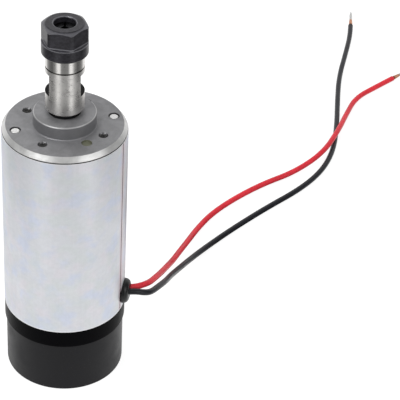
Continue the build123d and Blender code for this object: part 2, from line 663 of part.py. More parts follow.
# ================================================================ lead exit
with BuildPart() as lead_grommet:
    with BuildSketch(grommet_plane.offset(can_radius - GROMMET_THICKNESS / 2)):
        Circle(GROMMET_RADIUS)
    extrude(amount=1.5 * GROMMET_THICKNESS)
    fillet(lead_grommet.faces().sort_by(grommet_axis)[-1].edges(), GROMMET_ROUNDING)
    with BuildSketch(grommet_plane.offset(can_inner - GROMMET_INNER_THICKNESS)):
        Circle(GROMMET_INNER_RADIUS)
    extrude(amount=GROMMET_INNER_THICKNESS)
    turn((can_inner - SEAT, can_bottom), (can_radius + SEAT, can_bottom),
         (can_radius + SEAT, can_top), (can_inner - SEAT, can_top), mode=Mode.SUBTRACT)
    with BuildSketch(grommet_plane.offset(can_inner - GROMMET_INNER_THICKNESS)):
        Circle(GROMMET_NECK)
    extrude(amount=GROMMET_INNER_THICKNESS + CAN_WALL + GROMMET_THICKNESS / 2)
    with BuildSketch(lead_plane.offset(-2 * GROMMET_INNER_RADIUS)):
        with GridLocations(LEAD_SPACING, 0, 2, 1):
            Circle(LEAD_RADIUS + SLIP)
    extrude(amount=4 * GROMMET_RADIUS, mode=Mode.SUBTRACT)
finish(lead_grommet.part, "lead_grommet")


def corner_radii(points):
    """Largest arc for each corner of a route: 0.45 of its shorter run over tan of half the turn."""
    radii = []
    for before, corner, after in zip(points, points[1:], points[2:]):
        arriving, leaving = Vector(corner) - Vector(before), Vector(after) - Vector(corner)
        shorter = min(arriving.length, leaving.length)
        radii.append(0.45 * shorter / tan(radians(arriving.get_angle(leaving) / 2)))
    return radii


def lead(points, name):
    """Round lead along straight runs joined by tangent arcs; prints its radii and length."""
    radii = corner_radii(points)
    with BuildPart() as tube:
        with BuildLine() as route:
            FilletPolyline(*points, radius=radii)
        path = route.wires()[0]
        with BuildSketch(Plane(points[0], z_dir=Vector(points[1]) - Vector(points[0]))):
            Circle(LEAD_RADIUS)
        sweep(path=path)
    length = path.length
    print(f"{name}: length {length:.1f}, radii", [round(radius, 1) for radius in radii])
    print(f"{name}: volume over section times length {tube.part.volume / (length * lead_section):.5f}")
    finish(tube.part, name)


lead_section = Circle(LEAD_RADIUS, mode=Mode.PRIVATE).area
holder_side = holder_width / 2 + SLIP
inner_bend = (core_radius + COMMUTATOR_RADIUS) / 2 + 3
holder_entry = inner_bend - 1
lead(
    [
        in_grommet(LEAD_JOINT, 1),
        in_grommet(-4, 1),
        at_angle(inner_bend, -4, grommet_height),
        at_angle(inner_bend, 22, grommet_height),
        at_angle(inner_bend, 48, grommet_height),
        (holder_side + 5, holder_entry, grommet_height),
        (holder_side, holder_entry, grommet_height),
    ],
    "inner_lead_red",
)
lead(
    [
        in_grommet(LEAD_JOINT, -1),
        in_grommet(-4.5, -1),
        at_angle(inner_bend, -34, grommet_height),
        at_angle(inner_bend, -54, grommet_height),
        (holder_side + 4, -holder_entry, grommet_height),
        (holder_side, -holder_entry, grommet_height),
    ],
    "inner_lead_black",
)
lead([in_grommet(LEAD_JOINT, -1), in_grommet(LEAD_EXIT, -1)] + BLACK_ROUTE, "lead_black")
lead([in_grommet(LEAD_JOINT, 1), in_grommet(LEAD_EXIT, 1)] + RED_ROUTE, "lead_red")

for name, route_end, tip_length in (("lead_black_tip", BLACK_ROUTE[-2:], BLACK_TIP_LENGTH),
                                    ("lead_red_tip", RED_ROUTE[-2:], RED_TIP_LENGTH)):
    tip_way = Vector(route_end[1]) - Vector(route_end[0])
    with BuildPart() as lead_tip:
        with BuildSketch(Plane(route_end[1], z_dir=tip_way)):
            Circle(TIP_RADIUS)
        extrude(amount=tip_length)
        chamfer(lead_tip.faces().sort_by(Axis((0, 0, 0), tip_way))[-1].edges(), TIP_RADIUS / 3)
    finish(lead_tip.part, name)

# ================================================================ chuck
taper_bottom = collet_bottom - 0.4
taper_mouth = COLLET_RADIUS + RUNNING - (taper_top - nose_top) * taper_slope
taper_end = COLLET_RADIUS + RUNNING - (taper_top - taper_bottom) * taper_slope
bore_top = chuck_bottom + CHUCK_BORE_DEPTH
with BuildPart() as chuck_body:
    turn(
        (SHAFT_NOSE_RADIUS + SEAT, chuck_bottom),
        (chuck_radius - CHUCK_CHAMFER, chuck_bottom),
        (chuck_radius, chuck_bottom + CHUCK_CHAMFER),
        (chuck_radius, chuck_bottom + GROOVE_START),
        (chuck_radius - GROOVE_DEPTH, chuck_bottom + GROOVE_START),
        (chuck_radius - GROOVE_DEPTH, chuck_bottom + GROOVE_START + GROOVE_WIDTH),
        (chuck_radius, chuck_bottom + GROOVE_START + GROOVE_WIDTH),
        (chuck_radius, collar_top - CHUCK_CHAMFER),
        (chuck_radius - CHUCK_CHAMFER, collar_top),
        (nose_radius - NOSE_UNDERCUT, collar_top),
        (nose_radius - NOSE_UNDERCUT, collar_top + NOSE_UNDERCUT_WIDTH),
        (nose_radius, collar_top + NOSE_UNDERCUT_WIDTH),
        (nose_radius, nose_top - NOSE_CHAMFER),
        (nose_radius - NOSE_CHAMFER, nose_top),
        (taper_mouth, nose_top),
        (taper_end, taper_bottom),
        (RELIEF_RADIUS, taper_bottom),
        (RELIEF_RADIUS, bore_top),
        (SHAFT_NOSE_RADIUS + SEAT, bore_top),
    )
    for way in (-1, 1):
        with Locations((way * FLATS_ACROSS / 2, 0, chuck_bottom + FLATS_START)):
            Box(CHUCK_DIAMETER, CHUCK_DIAMETER + 2, FLATS_LENGTH,
                align=(Align.MIN if way > 0 else Align.MAX, Align.CENTER, Align.MIN),
                mode=Mode.SUBTRACT)
    for height in GRUB_HEIGHTS:
        with Locations(Location((0, 0, chuck_bottom + height), (-90, 0, 0))):
            Cylinder(GRUB_RADIUS + SLIP, CHUCK_DIAMETER,
                     align=(Align.CENTER, Align.CENTER, Align.MIN), mode=Mode.SUBTRACT)
finish(chuck_body.part, "chuck_body")

grub_inner = SHAFT_NOSE_RADIUS + SLIP
with BuildPart() as chuck_grub_screws:
    for height in GRUB_HEIGHTS:
        back = Plane(origin=(0, grub_inner, chuck_bottom + height), z_dir=(0, 1, 0))
        with BuildSketch(back):
            Circle(GRUB_RADIUS)
        extrude(amount=GRUB_LENGTH - GRUB_SOCKET_DEPTH)
        with BuildSketch(back.offset(GRUB_LENGTH - GRUB_SOCKET_DEPTH)):
            Circle(GRUB_RADIUS)
            RegularPolygon(GRUB_SOCKET / 2, 6, major_radius=False, mode=Mode.SUBTRACT)
        extrude(amount=GRUB_SOCKET_DEPTH)
finish(chuck_grub_screws.part, "chuck_grub_screws")

# ================================================================ collet
with BuildPart() as collet:
    turn(
        (COLLET_BORE, collet_bottom),
        (COLLET_RADIUS - (taper_top - collet_bottom) * taper_slope, collet_bottom),
        (COLLET_RADIUS, taper_top),
        (COLLET_GROOVE_RADIUS, taper_top),
        (COLLET_GROOVE_RADIUS, ring_bottom),
        (COLLET_RADIUS, ring_bottom),
        (COLLET_RADIUS, cone_bottom),
        (COLLET_FACE_RADIUS, collet_top),
        (COLLET_BORE, collet_top),
    )
    for start, bottom in ((0, collet_bottom + COLLET_SLOT_STOP),
                          (180 / COLLET_SLOTS, collet_bottom - COLLET_SLOT_STOP)):
        with Locations((0, 0, bottom)):
            with PolarLocations(0, COLLET_SLOTS, start_angle=start):
                Box(2 * COLLET_RADIUS, COLLET_SLOT_WIDTH, COLLET_LENGTH,
                    align=(Align.MIN, Align.CENTER, Align.MIN), mode=Mode.SUBTRACT)
finish(collet.part, "collet")

# ================================================================ clamping nut
ledge_slope = tan(radians(NUT_LEDGE_SLOPE))
top_slope = tan(radians(NUT_TOP_SLOPE))
waste_radius = NUT_DIAMETER
with BuildPart() as hex_waste:
    turn(
        (0, hex_floor + NUT_FLATS / 2 * ledge_slope),
        (waste_radius, hex_floor - (waste_radius - NUT_FLATS / 2) * ledge_slope),
        (waste_radius, nut_top + 1),
        (0, nut_top + 1),
    )
    with BuildSketch(Plane.XY.offset(nut_bottom)):
        with Locations(Location((0, 0), nut_corner)):
            RegularPolygon(NUT_FLATS / 2, 6, major_radius=False, rotation=0)
    extrude(amount=2 * (nut_top - nut_bottom), mode=Mode.SUBTRACT)

cone_slope = tan(radians(COLLET_FACE_ANGLE))
cone_start = COLLET_RADIUS + CONE_GAP / cos(radians(COLLET_FACE_ANGLE))
mouth_floor = cone_bottom + (cone_start - COLLET_FACE_RADIUS) / cone_slope
with BuildPart() as collet_nut:
    turn(
        (nose_radius + THREAD_PLAY, nut_bottom),
        (nut_radius - NUT_SKIRT_CHAMFER, nut_bottom),
        (nut_radius, nut_bottom + NUT_SKIRT_CHAMFER),
        (nut_radius, nut_top - (nut_radius - NUT_TOP_RADIUS) * top_slope),
        (NUT_TOP_RADIUS, nut_top),
        (NUT_MOUTH + NUT_MOUTH_CHAMFER, nut_top),
        (NUT_MOUTH, nut_top - NUT_MOUTH_CHAMFER),
        (NUT_MOUTH, mouth_floor),
        (COLLET_FACE_RADIUS, mouth_floor),
        (cone_start, cone_bottom),
        (cone_start, ring_bottom - NUT_LIP_CLEARANCE),
        (NUT_LIP_RADIUS, ring_bottom - NUT_LIP_CLEARANCE),
        (NUT_LIP_RADIUS, ring_bottom - NUT_LIP_CLEARANCE - NUT_LIP_THICKNESS),
        (nose_radius + THREAD_PLAY, ring_bottom - NUT_LIP_CLEARANCE - NUT_LIP_THICKNESS),
    )
    add(hex_waste.part, mode=Mode.SUBTRACT)
finish(collet_nut.part, "collet_nut")
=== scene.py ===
"""Looks of the brushed spindle motor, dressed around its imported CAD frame.

The motor stands on its rear cover. The origin is the middle of that foot, +Z runs along the shaft
to the clamping nut, and the leads leave on the +X side. Meshes are in metres. Sizes written here,
and the point that every finish reads, are in millimetres unless their comment says otherwise.
"""

import logging
import math
from dataclasses import dataclass
from enum import Enum
from functools import reduce

import bpy
import numpy as np
from mathutils import Matrix, Vector


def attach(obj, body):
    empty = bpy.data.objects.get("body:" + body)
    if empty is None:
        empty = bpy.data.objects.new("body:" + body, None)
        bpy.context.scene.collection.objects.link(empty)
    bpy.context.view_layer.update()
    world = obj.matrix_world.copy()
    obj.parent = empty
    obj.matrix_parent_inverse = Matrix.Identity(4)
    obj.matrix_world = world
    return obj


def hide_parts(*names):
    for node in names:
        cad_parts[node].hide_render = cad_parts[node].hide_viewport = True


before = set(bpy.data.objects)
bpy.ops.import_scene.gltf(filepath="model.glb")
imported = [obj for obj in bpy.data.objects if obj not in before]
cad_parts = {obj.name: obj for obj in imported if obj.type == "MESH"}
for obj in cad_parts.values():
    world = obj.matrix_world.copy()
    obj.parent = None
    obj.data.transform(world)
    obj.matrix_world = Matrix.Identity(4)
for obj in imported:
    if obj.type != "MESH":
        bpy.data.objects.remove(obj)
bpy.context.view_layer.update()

MM = 0.001
MOTOR_BODY = "motor_body"
Colour = tuple[float, float, float]
Place = tuple[float, float, float]
Spot = tuple[float, float]             # x and y, or a radius and a height
Span = tuple[float, float]             # where something starts and ends
Socket = bpy.types.NodeSocket
log = logging.getLogger("spindle")


def srgb(red: float, green: float, blue: float) -> Colour:
    """Turn an sRGB colour of 0 to 255 into linear light.

    Args:
        red, green, blue: The colour as a screen shows it.

    Returns:
        The three linear values: each is ((c + 0.055) / 1.055) to the power 2.4, and c / 12.92 near black.
    """
    shares = np.array([red, green, blue]) / 255
    linear = np.where(shares > 0.04045, ((shares + 0.055) / 1.055) ** 2.4, shares / 12.92)
    return tuple(float(value) for value in linear)


# ---------------------------------------------------------------- node graphs
class Signal:
    """A node's output. Arithmetic on it adds nodes to its graph."""

    def __init__(self, graph: "Graph", socket: Socket) -> None:
        """Keep a socket and the graph that it is in."""
        self.graph, self.socket = graph, socket

    def __add__(self, other: "Value") -> "Signal":
        """Return the sum."""
        return self.graph.math("ADD", self, other)

    def __sub__(self, other: "Value") -> "Signal":
        """Return the difference."""
        return self.graph.math("SUBTRACT", self, other)

    def __mul__(self, other: "Value") -> "Signal":
        """Return the product, such as what two masks share."""
        return self.graph.math("MULTIPLY", self, other)

    def __truediv__(self, other: "Value") -> "Signal":
        """Return the quotient."""
        return self.graph.math("DIVIDE", self, other)

    def __rtruediv__(self, other: float) -> "Signal":
        """Return a number over this value."""
        return self.graph.math("DIVIDE", other, self)

    def __or__(self, other: "Value") -> "Signal":
        """Return the larger value, such as either of two masks."""
        return self.graph.math("MAXIMUM", self, other)

    def __abs__(self) -> "Signal":
        """Return the value without its sign."""
        return self.graph.math("ABSOLUTE", self)

    def length(self, other: "Signal") -> "Signal":
        """Return the root of the sum of both squares."""
        return self.graph.math("SQRT", self * self + other * other)

    def wave(self, half: float) -> "Signal":
        """Return a triangle wave of this value, which climbs from 0 to half and falls back."""
        return self.graph.math("PINGPONG", self, half)

    def spread(self, half: float) -> "Signal":
        """Turn a value of 0 to 1 into one from 1 - half to 1 + half."""
        return self * (2 * half) + (1 - half)

    def ease(self, low: float, high: float, start: float = 0.0, end: float = 1.0) -> "Signal":
        """Return a value that eases from start to end while this one goes from low to high."""
        inputs = {"Value": self, "From Min": low, "From Max": high, "To Min": start, "To Max": end}
        return self.graph.out("MapRange", inputs, interpolation_type="SMOOTHSTEP", clamp=True)

    def fade(self, low: float, high: float) -> "Signal":
        """Return a mask that falls from 1 to 0 while this value goes from low to high."""
        return self.ease(low, high, 1.0, 0.0)

    def between(self, low: float, high: float, soft: float) -> "Signal":
        """Return 1 from low to high, falling to 0 over a soft edge outside."""
        return self.ease(low - soft, low) * self.fade(high, high + soft)

    def stretch(self, scale: Place) -> "Signal":
        """Return this vector multiplied by a scale along each axis."""
        return self.graph.out("VectorMath", {0: self, 1: scale}, operation="MULTIPLY")

    def noise(self, scale: "Value", detail: float = 3.0, rough: float = 0.5, offset: float = 0.0,
              distortion: float = 0.0) -> "Signal":
        """Read a noise texture at this vector.

        Args:
            scale: Waves in a millimetre.
            detail, rough, distortion: The texture's own settings.
            offset: Shift along all three axes, for a pattern of its own.

        Returns:
            The noise, which averages one half.
        """
        moved = self.graph.out("VectorMath", {0: self, 1: (offset,) * 3}) if offset else self
        return self.graph.out("TexNoise", {"Vector": moved, "Scale": scale, "Detail": detail,
                                           "Roughness": rough, "Distortion": distortion}, "Fac")


Value = Signal | float
Tint = Signal | Colour


class Graph:
    """A node tree with short ways to add nodes and join them."""

    def __init__(self, tree: bpy.types.NodeTree) -> None:
        """Draw in this node tree."""
        self.tree = tree

    def add(self, kind: str, inputs: dict | None = None, **settings: object) -> bpy.types.Node:
        """Add a node.

        Args:
            kind: The node's type, without ShaderNode.
            inputs: What its inputs take, by name or place.
            settings: Its own settings.

        Returns:
            The new node.
        """
        node = self.tree.nodes.new(kind if kind.startswith("NodeGroup") else "ShaderNode" + kind)
        for name, value in settings.items():
            setattr(node, name, value)
        for name, value in (inputs or {}).items():
            self.feed(node.inputs[name], value)
        return node

    def out(self, kind: str, inputs: dict | None = None, output: int | str = 0,
            **settings: object) -> Signal:
        """Add a node as add() does, and return one of its outputs."""
        return Signal(self, self.add(kind, inputs, **settings).outputs[output])

    def feed(self, socket: Socket, value: Value | Tint) -> None:
        """Link an output into an input, or set the input to a plain value.

        Args:
            socket: The input.
            value: Another node's output, a number, or a colour of three values.
        """
        if isinstance(value, Signal):
            self.tree.links.new(value.socket, socket)
        else:
            socket.default_value = (*value, 1.0) if socket.type == "RGBA" else value

    def signals(self, sockets: bpy.types.bpy_prop_collection) -> dict[str, Signal]:
        """Return outputs by name."""
        return {socket.name: Signal(self, socket) for socket in sockets if socket.name}

    def use(self, group: bpy.types.NodeTree, inputs: dict) -> dict[str, Signal]:
        """Place a shared node group with its own values, and return its outputs by name."""
        return self.signals(self.add("Group", inputs, node_tree=group).outputs)

    def math(self, operation: str, *values: Value) -> Signal:
        """Return the output of a Math node for up to three values."""
        return self.out("Math", dict(enumerate(values)), operation=operation)

    def split(self, vector: Signal) -> list[Signal]:
        """Return a vector's three parts."""
        return list(self.signals(self.add("SeparateXYZ", {0: vector}).outputs).values())

    def scaled(self, vector: Tint, amount: Value) -> Signal:
        """Return a colour or a vector multiplied by a number."""
        return self.out("VectorMath", {0: vector, "Scale": amount}, operation="SCALE")

    def level(self, mask: Value, under: Value, over: Value) -> Signal:
        """Return a number that goes from under to over as the mask goes from 0 to 1."""
        return self.out("Mix", {0: mask, 2: under, 3: over}, data_type="FLOAT", clamp_factor=True)

    def blend(self, mask: Signal, under: Tint, over: Tint, strength: float = 1.0) -> Signal:
        """Lay one colour over another.

        Args:
            mask: Where the upper colour shows, from 0 to 1.
            under, over: The lower and the upper colour.
            strength: How much of the upper colour shows where the mask is 1.

        Returns:
            The mixed colour.
        """
        share = mask if strength == 1.0 else mask * strength
        return self.out("Mix", {0: share, 6: under, 7: over}, 2, data_type="RGBA", clamp_factor=True)


def new_group(name: str, outputs: tuple[str, ...], vector: bool = True,
              **numbers: float) -> tuple[Graph, dict[str, Signal], dict[str, Socket]]:
    """Start a shader node group with named sockets.

    Args:
        name: The group's name.
        outputs: Names of outputs, all plain numbers.
        vector: Whether it has a first input named Vector.
        numbers: Defaults of its number inputs, by name with _ for a space.

    Returns:
        The group's graph, what its inputs give and its output sockets, both by name.
    """
    tree = bpy.data.node_groups.new(name, "ShaderNodeTree")
    if vector:
        tree.interface.new_socket(name="Vector", in_out="INPUT", socket_type="NodeSocketVector")
    for title, default in numbers.items():
        socket = tree.interface.new_socket(name=title.replace("_", " "), in_out="INPUT",
                                           socket_type="NodeSocketFloat")
        socket.default_value = default
    for title in outputs:
        tree.interface.new_socket(name=title, in_out="OUTPUT", socket_type="NodeSocketFloat")
    graph = Graph(tree)
    start, end = graph.add("NodeGroupInput"), graph.add("NodeGroupOutput")
    return graph, graph.signals(start.outputs), end.inputs


class Effects:
    """The effects that several finishes share, each a node group that is built once."""

    PIT_SCALE, PIT_WEIGHT = 0.5, 0.35      # rounder pits among the grain: their scale and their depth
    GRAIN_BROAD = 0.22                     # scale of the wide changes of tone, against the grain's
    RING_DRIFT = 0.02                      # how much lathe marks change round the axis
    RING_BROAD = 0.15
    LINE_STRETCH = 0.02                    # drawn lines are this much finer across than along
    LINE_BROAD = 0.12
    CLOUD_EDGE = (0.35, 0.68)              # noise at which a cloud starts and is full
    DUST_SCALE, DUST_SIZE = 0.55, (0.05, 0.11)
    BEHIND = (0.62, 0.76)                  # share of the half turn at which the space behind starts
    # The surround by its share of the half turn from the front, and the brightness there.
    SURROUND = ((0.0, 0.22), (0.105, 0.26), (0.165, 1.0), (0.225, 1.0), (0.31, 0.32), (0.42, 0.11),
                (0.53, 0.16), (0.66, 0.4), (0.8, 0.4))

    def __init__(self) -> None:
        """Build every group, and start an empty store of materials."""
        self.place = self.make_place()
        self.grain = self.make_grain()
        self.turned = self.make_turned()
        self.drawn = self.make_drawn()
        self.smudge = self.make_smudge()
        self.ring = self.make_ring()
        self.spot = self.make_spot()
        self.surround = self.make_surround()
        self.materials: dict[str, bpy.types.Material] = {}

    def make_place(self) -> bpy.types.NodeTree:
        """Build a point's place about the spindle's axis.

        Returns:
            The group, which puts out radius and height in millimetres and the angle in degrees.
        """
        graph, inside, out = new_group("place_on_spindle", ("Radius", "Height", "Angle"))
        x, y, z = graph.split(inside["Vector"])
        graph.feed(out["Radius"], x.length(y))
        graph.feed(out["Height"], z)
        graph.feed(out["Angle"], graph.math("DEGREES", graph.math("ARCTAN2", y, x)))
        return graph.tree

    def make_grain(self) -> bpy.types.NodeTree:
        """Build fine blasted or moulded grain: noise at the grain's size plus rounder pits.

        Returns:
            The group, which puts out the grain's height and a tone with wider changes in it.
        """
        graph, inside, out = new_group("fine_grain", ("Height", "Tone"), Size=0.3)
        point, scale = inside["Vector"], 1.0 / inside["Size"]
        fine = point.noise(scale, 3.0, 0.6)
        pits = graph.out("TexVoronoi", {"Vector": point, "Scale": scale * self.PIT_SCALE}, "Distance",
                         feature="SMOOTH_F1")
        graph.feed(out["Height"], pits * self.PIT_WEIGHT + fine)
        graph.feed(out["Tone"], graph.level(0.4, fine, point.noise(scale * self.GRAIN_BROAD, 2.0)))
        return graph.tree

    def make_turned(self) -> bpy.types.NodeTree:
        """Build lathe marks: noise that changes with radius and height and hardly round the axis.

        Returns:
            The group, which puts out the marks' height and a tone with wider rings in it.
        """
        graph, inside, out = new_group("turned_rings", ("Height", "Tone"), Pitch=0.15)
        place = graph.use(self.place, {"Vector": inside["Vector"]})
        drift = graph.math("SINE", graph.math("RADIANS", place["Angle"])) * self.RING_DRIFT
        joined = graph.out("CombineXYZ", {0: place["Radius"], 1: place["Height"], 2: drift})
        scale = 1.0 / inside["Pitch"]
        lines = joined.noise(scale, 2.0, 0.6)
        graph.feed(out["Height"], lines)
        graph.feed(out["Tone"], graph.level(0.5, lines, joined.noise(scale * self.RING_BROAD, 1.0)))
        return graph.tree

    def make_drawn(self) -> bpy.types.NodeTree:
        """Build faint lines along the axis, as drawing and rolling leave: noise stretched along Z.

        Returns:
            The group, which puts out the lines' height and a tone with wider bands in it.
        """
        graph, inside, out = new_group("drawn_lines", ("Height", "Tone"), Width=0.4)
        long = inside["Vector"].stretch((1.0, 1.0, self.LINE_STRETCH))
        scale = 1.0 / inside["Width"]
        lines = long.noise(scale, 3.0, 0.65)
        graph.feed(out["Height"], lines)
        graph.feed(out["Tone"], graph.level(0.6, lines, long.noise(scale * self.LINE_BROAD, 1.0)))
        return graph.tree

    def make_smudge(self) -> bpy.types.NodeTree:
        """Build handling marks: wide soft clouds, and small scattered specks of dust.

        Returns:
            The group, which puts out a mask of clouds and a mask of specks.
        """
        graph, inside, out = new_group("smudges_and_dust", ("Cloud", "Dust"), Size=8.0)
        point = inside["Vector"]
        cloud = point.noise(1.0 / inside["Size"], 4.0, 0.55, distortion=0.6)
        graph.feed(out["Cloud"], cloud.ease(*self.CLOUD_EDGE))
        specks = graph.out("TexVoronoi", {"Vector": point, "Scale": self.DUST_SCALE}, "Distance")
        graph.feed(out["Dust"], specks.fade(*self.DUST_SIZE))
        return graph.tree

    def make_ring(self) -> bpy.types.NodeTree:
        """Build a soft line round the axis: the distance from a circle, as a share of the line's width.

        Returns:
            The group, whose mask is 1 on the circle and falls to 0 over the width.
        """
        graph, inside, out = new_group("edge_ring", ("Mask",), False, Radius=0.0, Height=0.0,
                                       Ring_Radius=1.0, Ring_Height=0.0, Width=0.3)
        away = (inside["Radius"] - inside["Ring Radius"]).length(inside["Height"] - inside["Ring Height"])
        graph.feed(out["Mask"], (away / inside["Width"]).fade(0.0, 1.0))
        return graph.tree

    def make_spot(self) -> bpy.types.NodeTree:
        """Build the distance from an upright line at a given place, such as a hole's axis.

        Returns:
            The group, which puts out the distance in millimetres.
        """
        graph, inside, out = new_group("distance_from_hole", ("Distance",), X=0.0, Y=0.0)
        x, y, _ = graph.split(inside["Vector"])
        graph.feed(out["Distance"], (x - inside["X"]).length(y - inside["Y"]))
        return graph.tree

    def make_surround(self) -> bpy.types.NodeTree:
        """Build what polished metal sees round about: soft light strips with darker gaps between.

        The brightness follows the angle from the front, the same on both sides, and the space
        behind has a brightness of its own.

        Returns:
            The group, which puts out the brightness.
        """
        graph, inside, out = new_group("studio_surround", ("Brightness",), Behind=1.0)
        x, y, _ = graph.split(inside["Vector"])
        share = abs(graph.math("ARCTAN2", x, y * -1.0)) / math.pi
        ramp = graph.add("ValToRGB", {"Fac": share})
        stops = ramp.color_ramp.elements
        while len(stops) < len(self.SURROUND):
            stops.new(0.5)
        for stop, (position, brightness) in zip(stops, self.SURROUND):
            stop.position = position
            stop.color = (brightness, brightness, brightness, 1.0)
        strips = Signal(graph, ramp.outputs["Color"])
        graph.feed(out["Brightness"], graph.level(share.ease(*self.BEHIND), strips, inside["Behind"]))
        return graph.tree


# ---------------------------------------------------------------- finishes
class Canvas(Graph):
    """A material's graph, with its shader and the shared effects at the object's own point."""

    def __init__(self, material: bpy.types.Material, effects: Effects) -> None:
        """Start on a new material.

        Args:
            material: The material, with its first Principled BSDF.
            effects: The shared node groups.
        """
        super().__init__(material.node_tree)
        self.shader = material.node_tree.nodes["Principled BSDF"]
        self.effects = effects
        self.point = self.scaled(self.out("TexCoord", output="Object"), 1 / MM)

    def set(self, title: str, value: Value | Tint) -> None:
        """Feed one of the shader's inputs."""
        self.feed(self.shader.inputs[title], value)

    def at(self, group: bpy.types.NodeTree, **values: float) -> dict[str, Signal]:
        """Return a shared group's outputs at the point, in millimetres."""
        return self.use(group, {"Vector": self.point, **values})

    def away(self, spot: Spot) -> Signal:
        """Return the distance from the upright line through a spot."""
        return self.at(self.effects.spot, X=spot[0], Y=spot[1])["Distance"]

    def edge(self, place: dict[str, Signal], ring: Spot, width: float) -> Signal:
        """Place the soft line round the axis.

        Args:
            place: Outputs of the group place_on_spindle.
            ring: Radius and height of the line.
            width: How far from the line the mask reaches.

        Returns:
            The line's mask.
        """
        return self.use(self.effects.ring, {
            "Radius": place["Radius"], "Height": place["Height"], "Ring Radius": ring[0],
            "Ring Height": ring[1], "Width": width})["Mask"]


@dataclass(frozen=True)
class Finish:
    """A material's plain settings, before the pattern that its class draws."""

    name: str
    colour: Colour
    roughness: float
    metallic: float = 0.0
    specular: float = 0.5
    bump: float = 0.02

    def build(self, effects: Effects) -> bpy.types.Material:
        """Make the material.

        Args:
            effects: The shared node groups.

        Returns:
            The new material, with its pattern drawn.
        """
        material = bpy.data.materials.new(self.name)
        material.use_nodes = True
        canvas = Canvas(material, effects)
        for title, value in (("Base Color", self.colour), ("Roughness", self.roughness),
                             ("Metallic", self.metallic), ("Specular IOR Level", self.specular)):
            canvas.set(title, value)
        self.draw(canvas)
        return material

    def draw(self, on: Canvas) -> None:
        """Draw the finish's own pattern.

        Args:
            on: The new material's canvas.
        """
        raise NotImplementedError

    def paint(self, on: Canvas, colour: Signal, mask: Signal, wander: Span, height: Signal) -> None:
        """Feed the shader's colour, roughness and relief.

        Args:
            on: The material's canvas.
            colour: The colour over the surface.
            mask: Where the surface is rougher, from 0 to 1.
            wander: What is added to the finish's roughness where the mask is 0, and where it is 1.
            height: The relief.
        """
        on.set("Base Color", colour)
        on.set("Roughness", on.level(mask, self.roughness + wander[0], self.roughness + wander[1]))
        self.emboss(on, height)

    def emboss(self, on: Canvas, height: Signal) -> None:
        """Give the shader a relief, at the finish's bump depth."""
        on.set("Normal", on.out("Bump", {"Height": height, "Strength": 1.0, "Distance": self.bump * MM}))


@dataclass(frozen=True)
class Moulding(Finish):
    """Moulded or pressed matter: fine grain, tone clouds and a little dust."""

    grain: float = 0.25
    tone: float = 0.25
    cloud: float = 9.0
    dust: float = 0.0
    dust_colour: Colour = srgb(120, 120, 120)

    def draw(self, on: Canvas) -> None:
        """Let colour and roughness wander with the grain and the clouds.

        Args:
            on: The new material's canvas.
        """
        grain, marks = on.at(on.effects.grain, Size=self.grain), on.at(on.effects.smudge, Size=self.cloud)
        colour = on.scaled(self.colour, on.level(0.5, grain["Tone"], marks["Cloud"]).spread(self.tone))
        if self.dust:
            colour = on.blend(marks["Dust"], colour, self.dust_colour, self.dust)
        self.paint(on, colour, marks["Cloud"], (-0.05, 0.07), grain["Height"])


@dataclass(frozen=True)
class CoverMoulding(Moulding):
    """The rear cover: satin charcoal, with painted highlights along its rim and its chamfered foot."""

    # the painted highlights along the chamfered foot and the rim: their places, their width and their
    # colour
    foot: Spot = (25.15, 0.2)
    rim: Spot = (25.3, 25.0)
    edge_width: float = 0.55
    edge: Colour = srgb(95, 95, 100)

    def draw(self, on: Canvas) -> None:
        """Lay two painted highlights along the edges over the plain moulding.

        Args:
            on: The new material's canvas.
        """
        super().draw(on)
        place = on.at(on.effects.place)
        colour = Signal(on, on.shader.inputs["Base Color"].links[0].from_socket)
        # painted highlights along the foot and the rim
        for ring in (self.foot, self.rim):
            colour = on.blend(on.edge(place, ring, self.edge_width), colour, self.edge, 0.5)
        on.set("Base Color", colour)


class ToolMarks(Enum):
    """Which way a tool's lines run."""

    ROUND = "round the axis"
    ALONG = "along the axis"


@dataclass(frozen=True)
class WorkedMetal(Finish):
    """Turned, ground or drawn metal: lines that follow the tool, and light handling marks."""

    pitch: float = 0.15
    marks: ToolMarks = ToolMarks.ROUND
    tone: float = 0.15
    cloud: float = 6.0

    def draw(self, on: Canvas) -> None:
        """Let colour, roughness and relief follow the tool's lines.

        Args:
            on: The new material's canvas.
        """
        if self.marks is ToolMarks.ROUND:
            lines = on.at(on.effects.turned, Pitch=self.pitch)
        else:
            lines = on.at(on.effects.drawn, Width=self.pitch)
        marks = on.at(on.effects.smudge, Size=self.cloud)
        self.paint(on, on.scaled(self.colour, lines["Tone"].spread(self.tone)), marks["Cloud"],
                   (-0.15 * self.roughness, 0.2 * self.roughness), lines["Height"])


